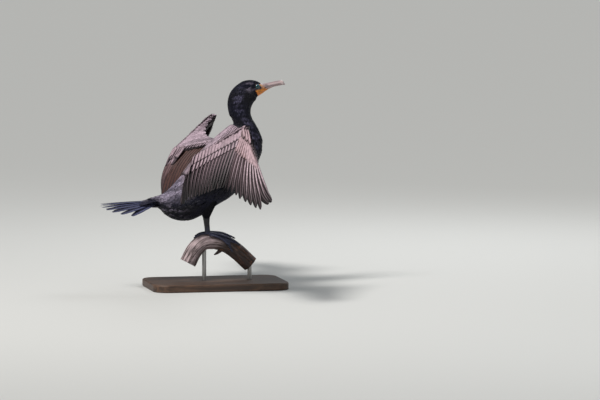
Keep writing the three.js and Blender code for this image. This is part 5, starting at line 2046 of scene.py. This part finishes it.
@dataclass
class Studio:
    """Camera, lights and floor."""

    swing: float = 12.0
    tilt: float = 5.0
    scale: float = 2.4
    distance: float = 12000.0
    origin_pixel: tuple = (207.0, 233.0)
    centre_pixel: tuple = (300, 200)
    # Name, metres to the right, towards the viewer and up, width, power, tint
    lamps: tuple = (
        ("key", -0.9, 1.1, 1.9, 0.6, 22, (1.0, 0.96, 0.92)),
        ("fill", 1.6, 1.5, 0.7, 1.6, 4, (0.9, 0.95, 1.0)),
        ("rim", 0.8, -1.4, 1.3, 1.0, 14, (0.95, 0.97, 1.0)),
    )

    def axes(self) -> tuple[Array, Array, Array]:
        """The view's right, up and forward directions."""
        phi, eps = math.radians(self.swing), math.radians(self.tilt)
        right = np.array([math.cos(phi), -math.sin(phi), 0])
        deep = np.array([math.sin(phi), math.cos(phi), 0])
        return right, math.sin(eps) * deep + math.cos(eps) * UP, math.cos(eps) * deep - math.sin(eps) * UP

    def camera(self) -> None:
        """Long lens at the photograph's angle."""
        right, up, forward = self.axes()
        aside = (self.centre_pixel[0] - self.origin_pixel[0]) * self.scale * right
        target = ORIGIN + aside + (self.origin_pixel[1] - self.centre_pixel[1]) * self.scale * up
        data = bpy.data.cameras.new("camera")
        data.lens, data.sensor_width, data.clip_end = 300, 36, 60
        camera = linked("camera", data)
        turn = Matrix([right, up, -forward]).transposed()
        place = Vector((target - self.distance * forward) / MM_PER_M)
        camera.matrix_world = Matrix.Translation(place) @ turn.to_4x4()
        bpy.context.scene.camera = camera

    def lights(self) -> None:
        """Soft square lights round the model, and a broad sun."""
        right, _, forward = self.axes()
        middle = np.array([-0.01, 0, 0.33])
        toward = -forward * [1, 1, 0]
        for name, aside, near, high, size, power, tint in self.lamps:
            place = middle + aside * right + near * toward + high * UP
            data = bpy.data.lights.new(name, "AREA")
            data.size, data.energy, data.color = size, power, tint
            lamp = linked(name, data)
            lamp.location = place
            lamp.rotation_euler = Vector(middle - place).to_track_quat("-Z", "Y").to_euler()
        data = bpy.data.lights.new("window", "SUN")
        data.energy, data.angle, data.color = 2.6, math.radians(14), (1.0, 0.975, 0.95)
        way = Vector(0.55 * right - 0.5 * toward - 0.85 * UP)
        linked("window", data).rotation_euler = way.to_track_quat("-Z", "Y").to_euler()

    def build(self, floor: Material) -> None:
        """Sets up camera, lights, world and floor."""
        self.camera()
        self.lights()
        world = bpy.data.worlds.new("studio")
        world.use_nodes = True
        sky = world.node_tree.nodes["Background"].inputs
        sky["Color"].default_value = (0.78, 0.82, 0.84, 1)
        sky["Strength"].default_value = 0.28
        bpy.context.scene.world = world
        bm = bmesh.new()
        bmesh.ops.create_grid(bm, x_segments=1, y_segments=1, size=30)
        mesh = meshed(bm, smooth=False)
        mesh.materials.append(floor)
        ground = linked("floor", mesh)
        bpy.context.scene.view_settings.view_transform = "Standard"


def main() -> None:
    """Builds the model and its stage and reports each piece."""
    logging.basicConfig(level=logging.INFO, format="%(message)s")
    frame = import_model()
    finishes = Palette()
    soft = Gloss(ior=1.27, sheen=0.02, sheen_tint=(0.45, 0.45, 0.85, 1), coat_rough=0.35)
    plain = Gloss(ior=1.4, coat_rough=0.4)
    small = finishes.feather("body_feather", 150.0, 0.5, soft, (0.02, 0.02, 0.03, 1), 0.12)
    long = finishes.feather("flight_feather", 1300.0, 0.5, plain, (0.22, 0.15, 0.17, 1), 0.7)
    cover = finishes.feather("wing_covert", 420.0, 0.58, plain, (0.14, 0.10, 0.115, 1), 0.4)
    stiff = finishes.feather("tail_feather", 1100.0, 0.42, soft, (0.06, 0.06, 0.085, 1), 0.7)
    body = Body()
    wing = Wing(body)
    branch = Branch()
    legs = Legs(branch)
    Skin(body, wing, legs).build(finishes.skin())
    body.coat("coat_rump", 0.0, 5.6, Template(3, 5), small)
    body.coat("coat_breast", 5.6, 11.4, Template(3, 5), small)
    body.coat("coat_neck", 11.4, 20.2, Template(3, 4), small)
    body.coat("coat_head", 20.2, 24.6, Template(2, 4), small)
    thigh_coat(legs, Template(2, 4), small)
    for side in SIDES:
        wing.flight(side, long)
        wing.coverts(side, cover)
        wing.lesser(side, cover)
    Tail().build(stiff)
    head = Head(body)
    horn, bare = finishes.horn(), finishes.bare()
    head.upper(horn)
    head.lower(horn)
    head.pouch(bare)
    head.face(bare)
    centre = placed(np.array([head.eye[0], 0, head.eye[2]]))
    head.eyes(finishes.eye((centre[0], centre[2])), bare)
    legs.build(finishes.leg(), finishes.claw())
    branch.build(finishes.bark(), finishes.cut_wood())
    wood, steel = finishes.base_wood(), finishes.metal()
    for name, node in frame["nodes"].items():
        if name.startswith("stand_"):
            node.data.materials.clear()
            node.data.materials.append(steel if "rod" in name else wood)
    Studio().build(finishes.floor())


if __name__ == "__main__":
    main()
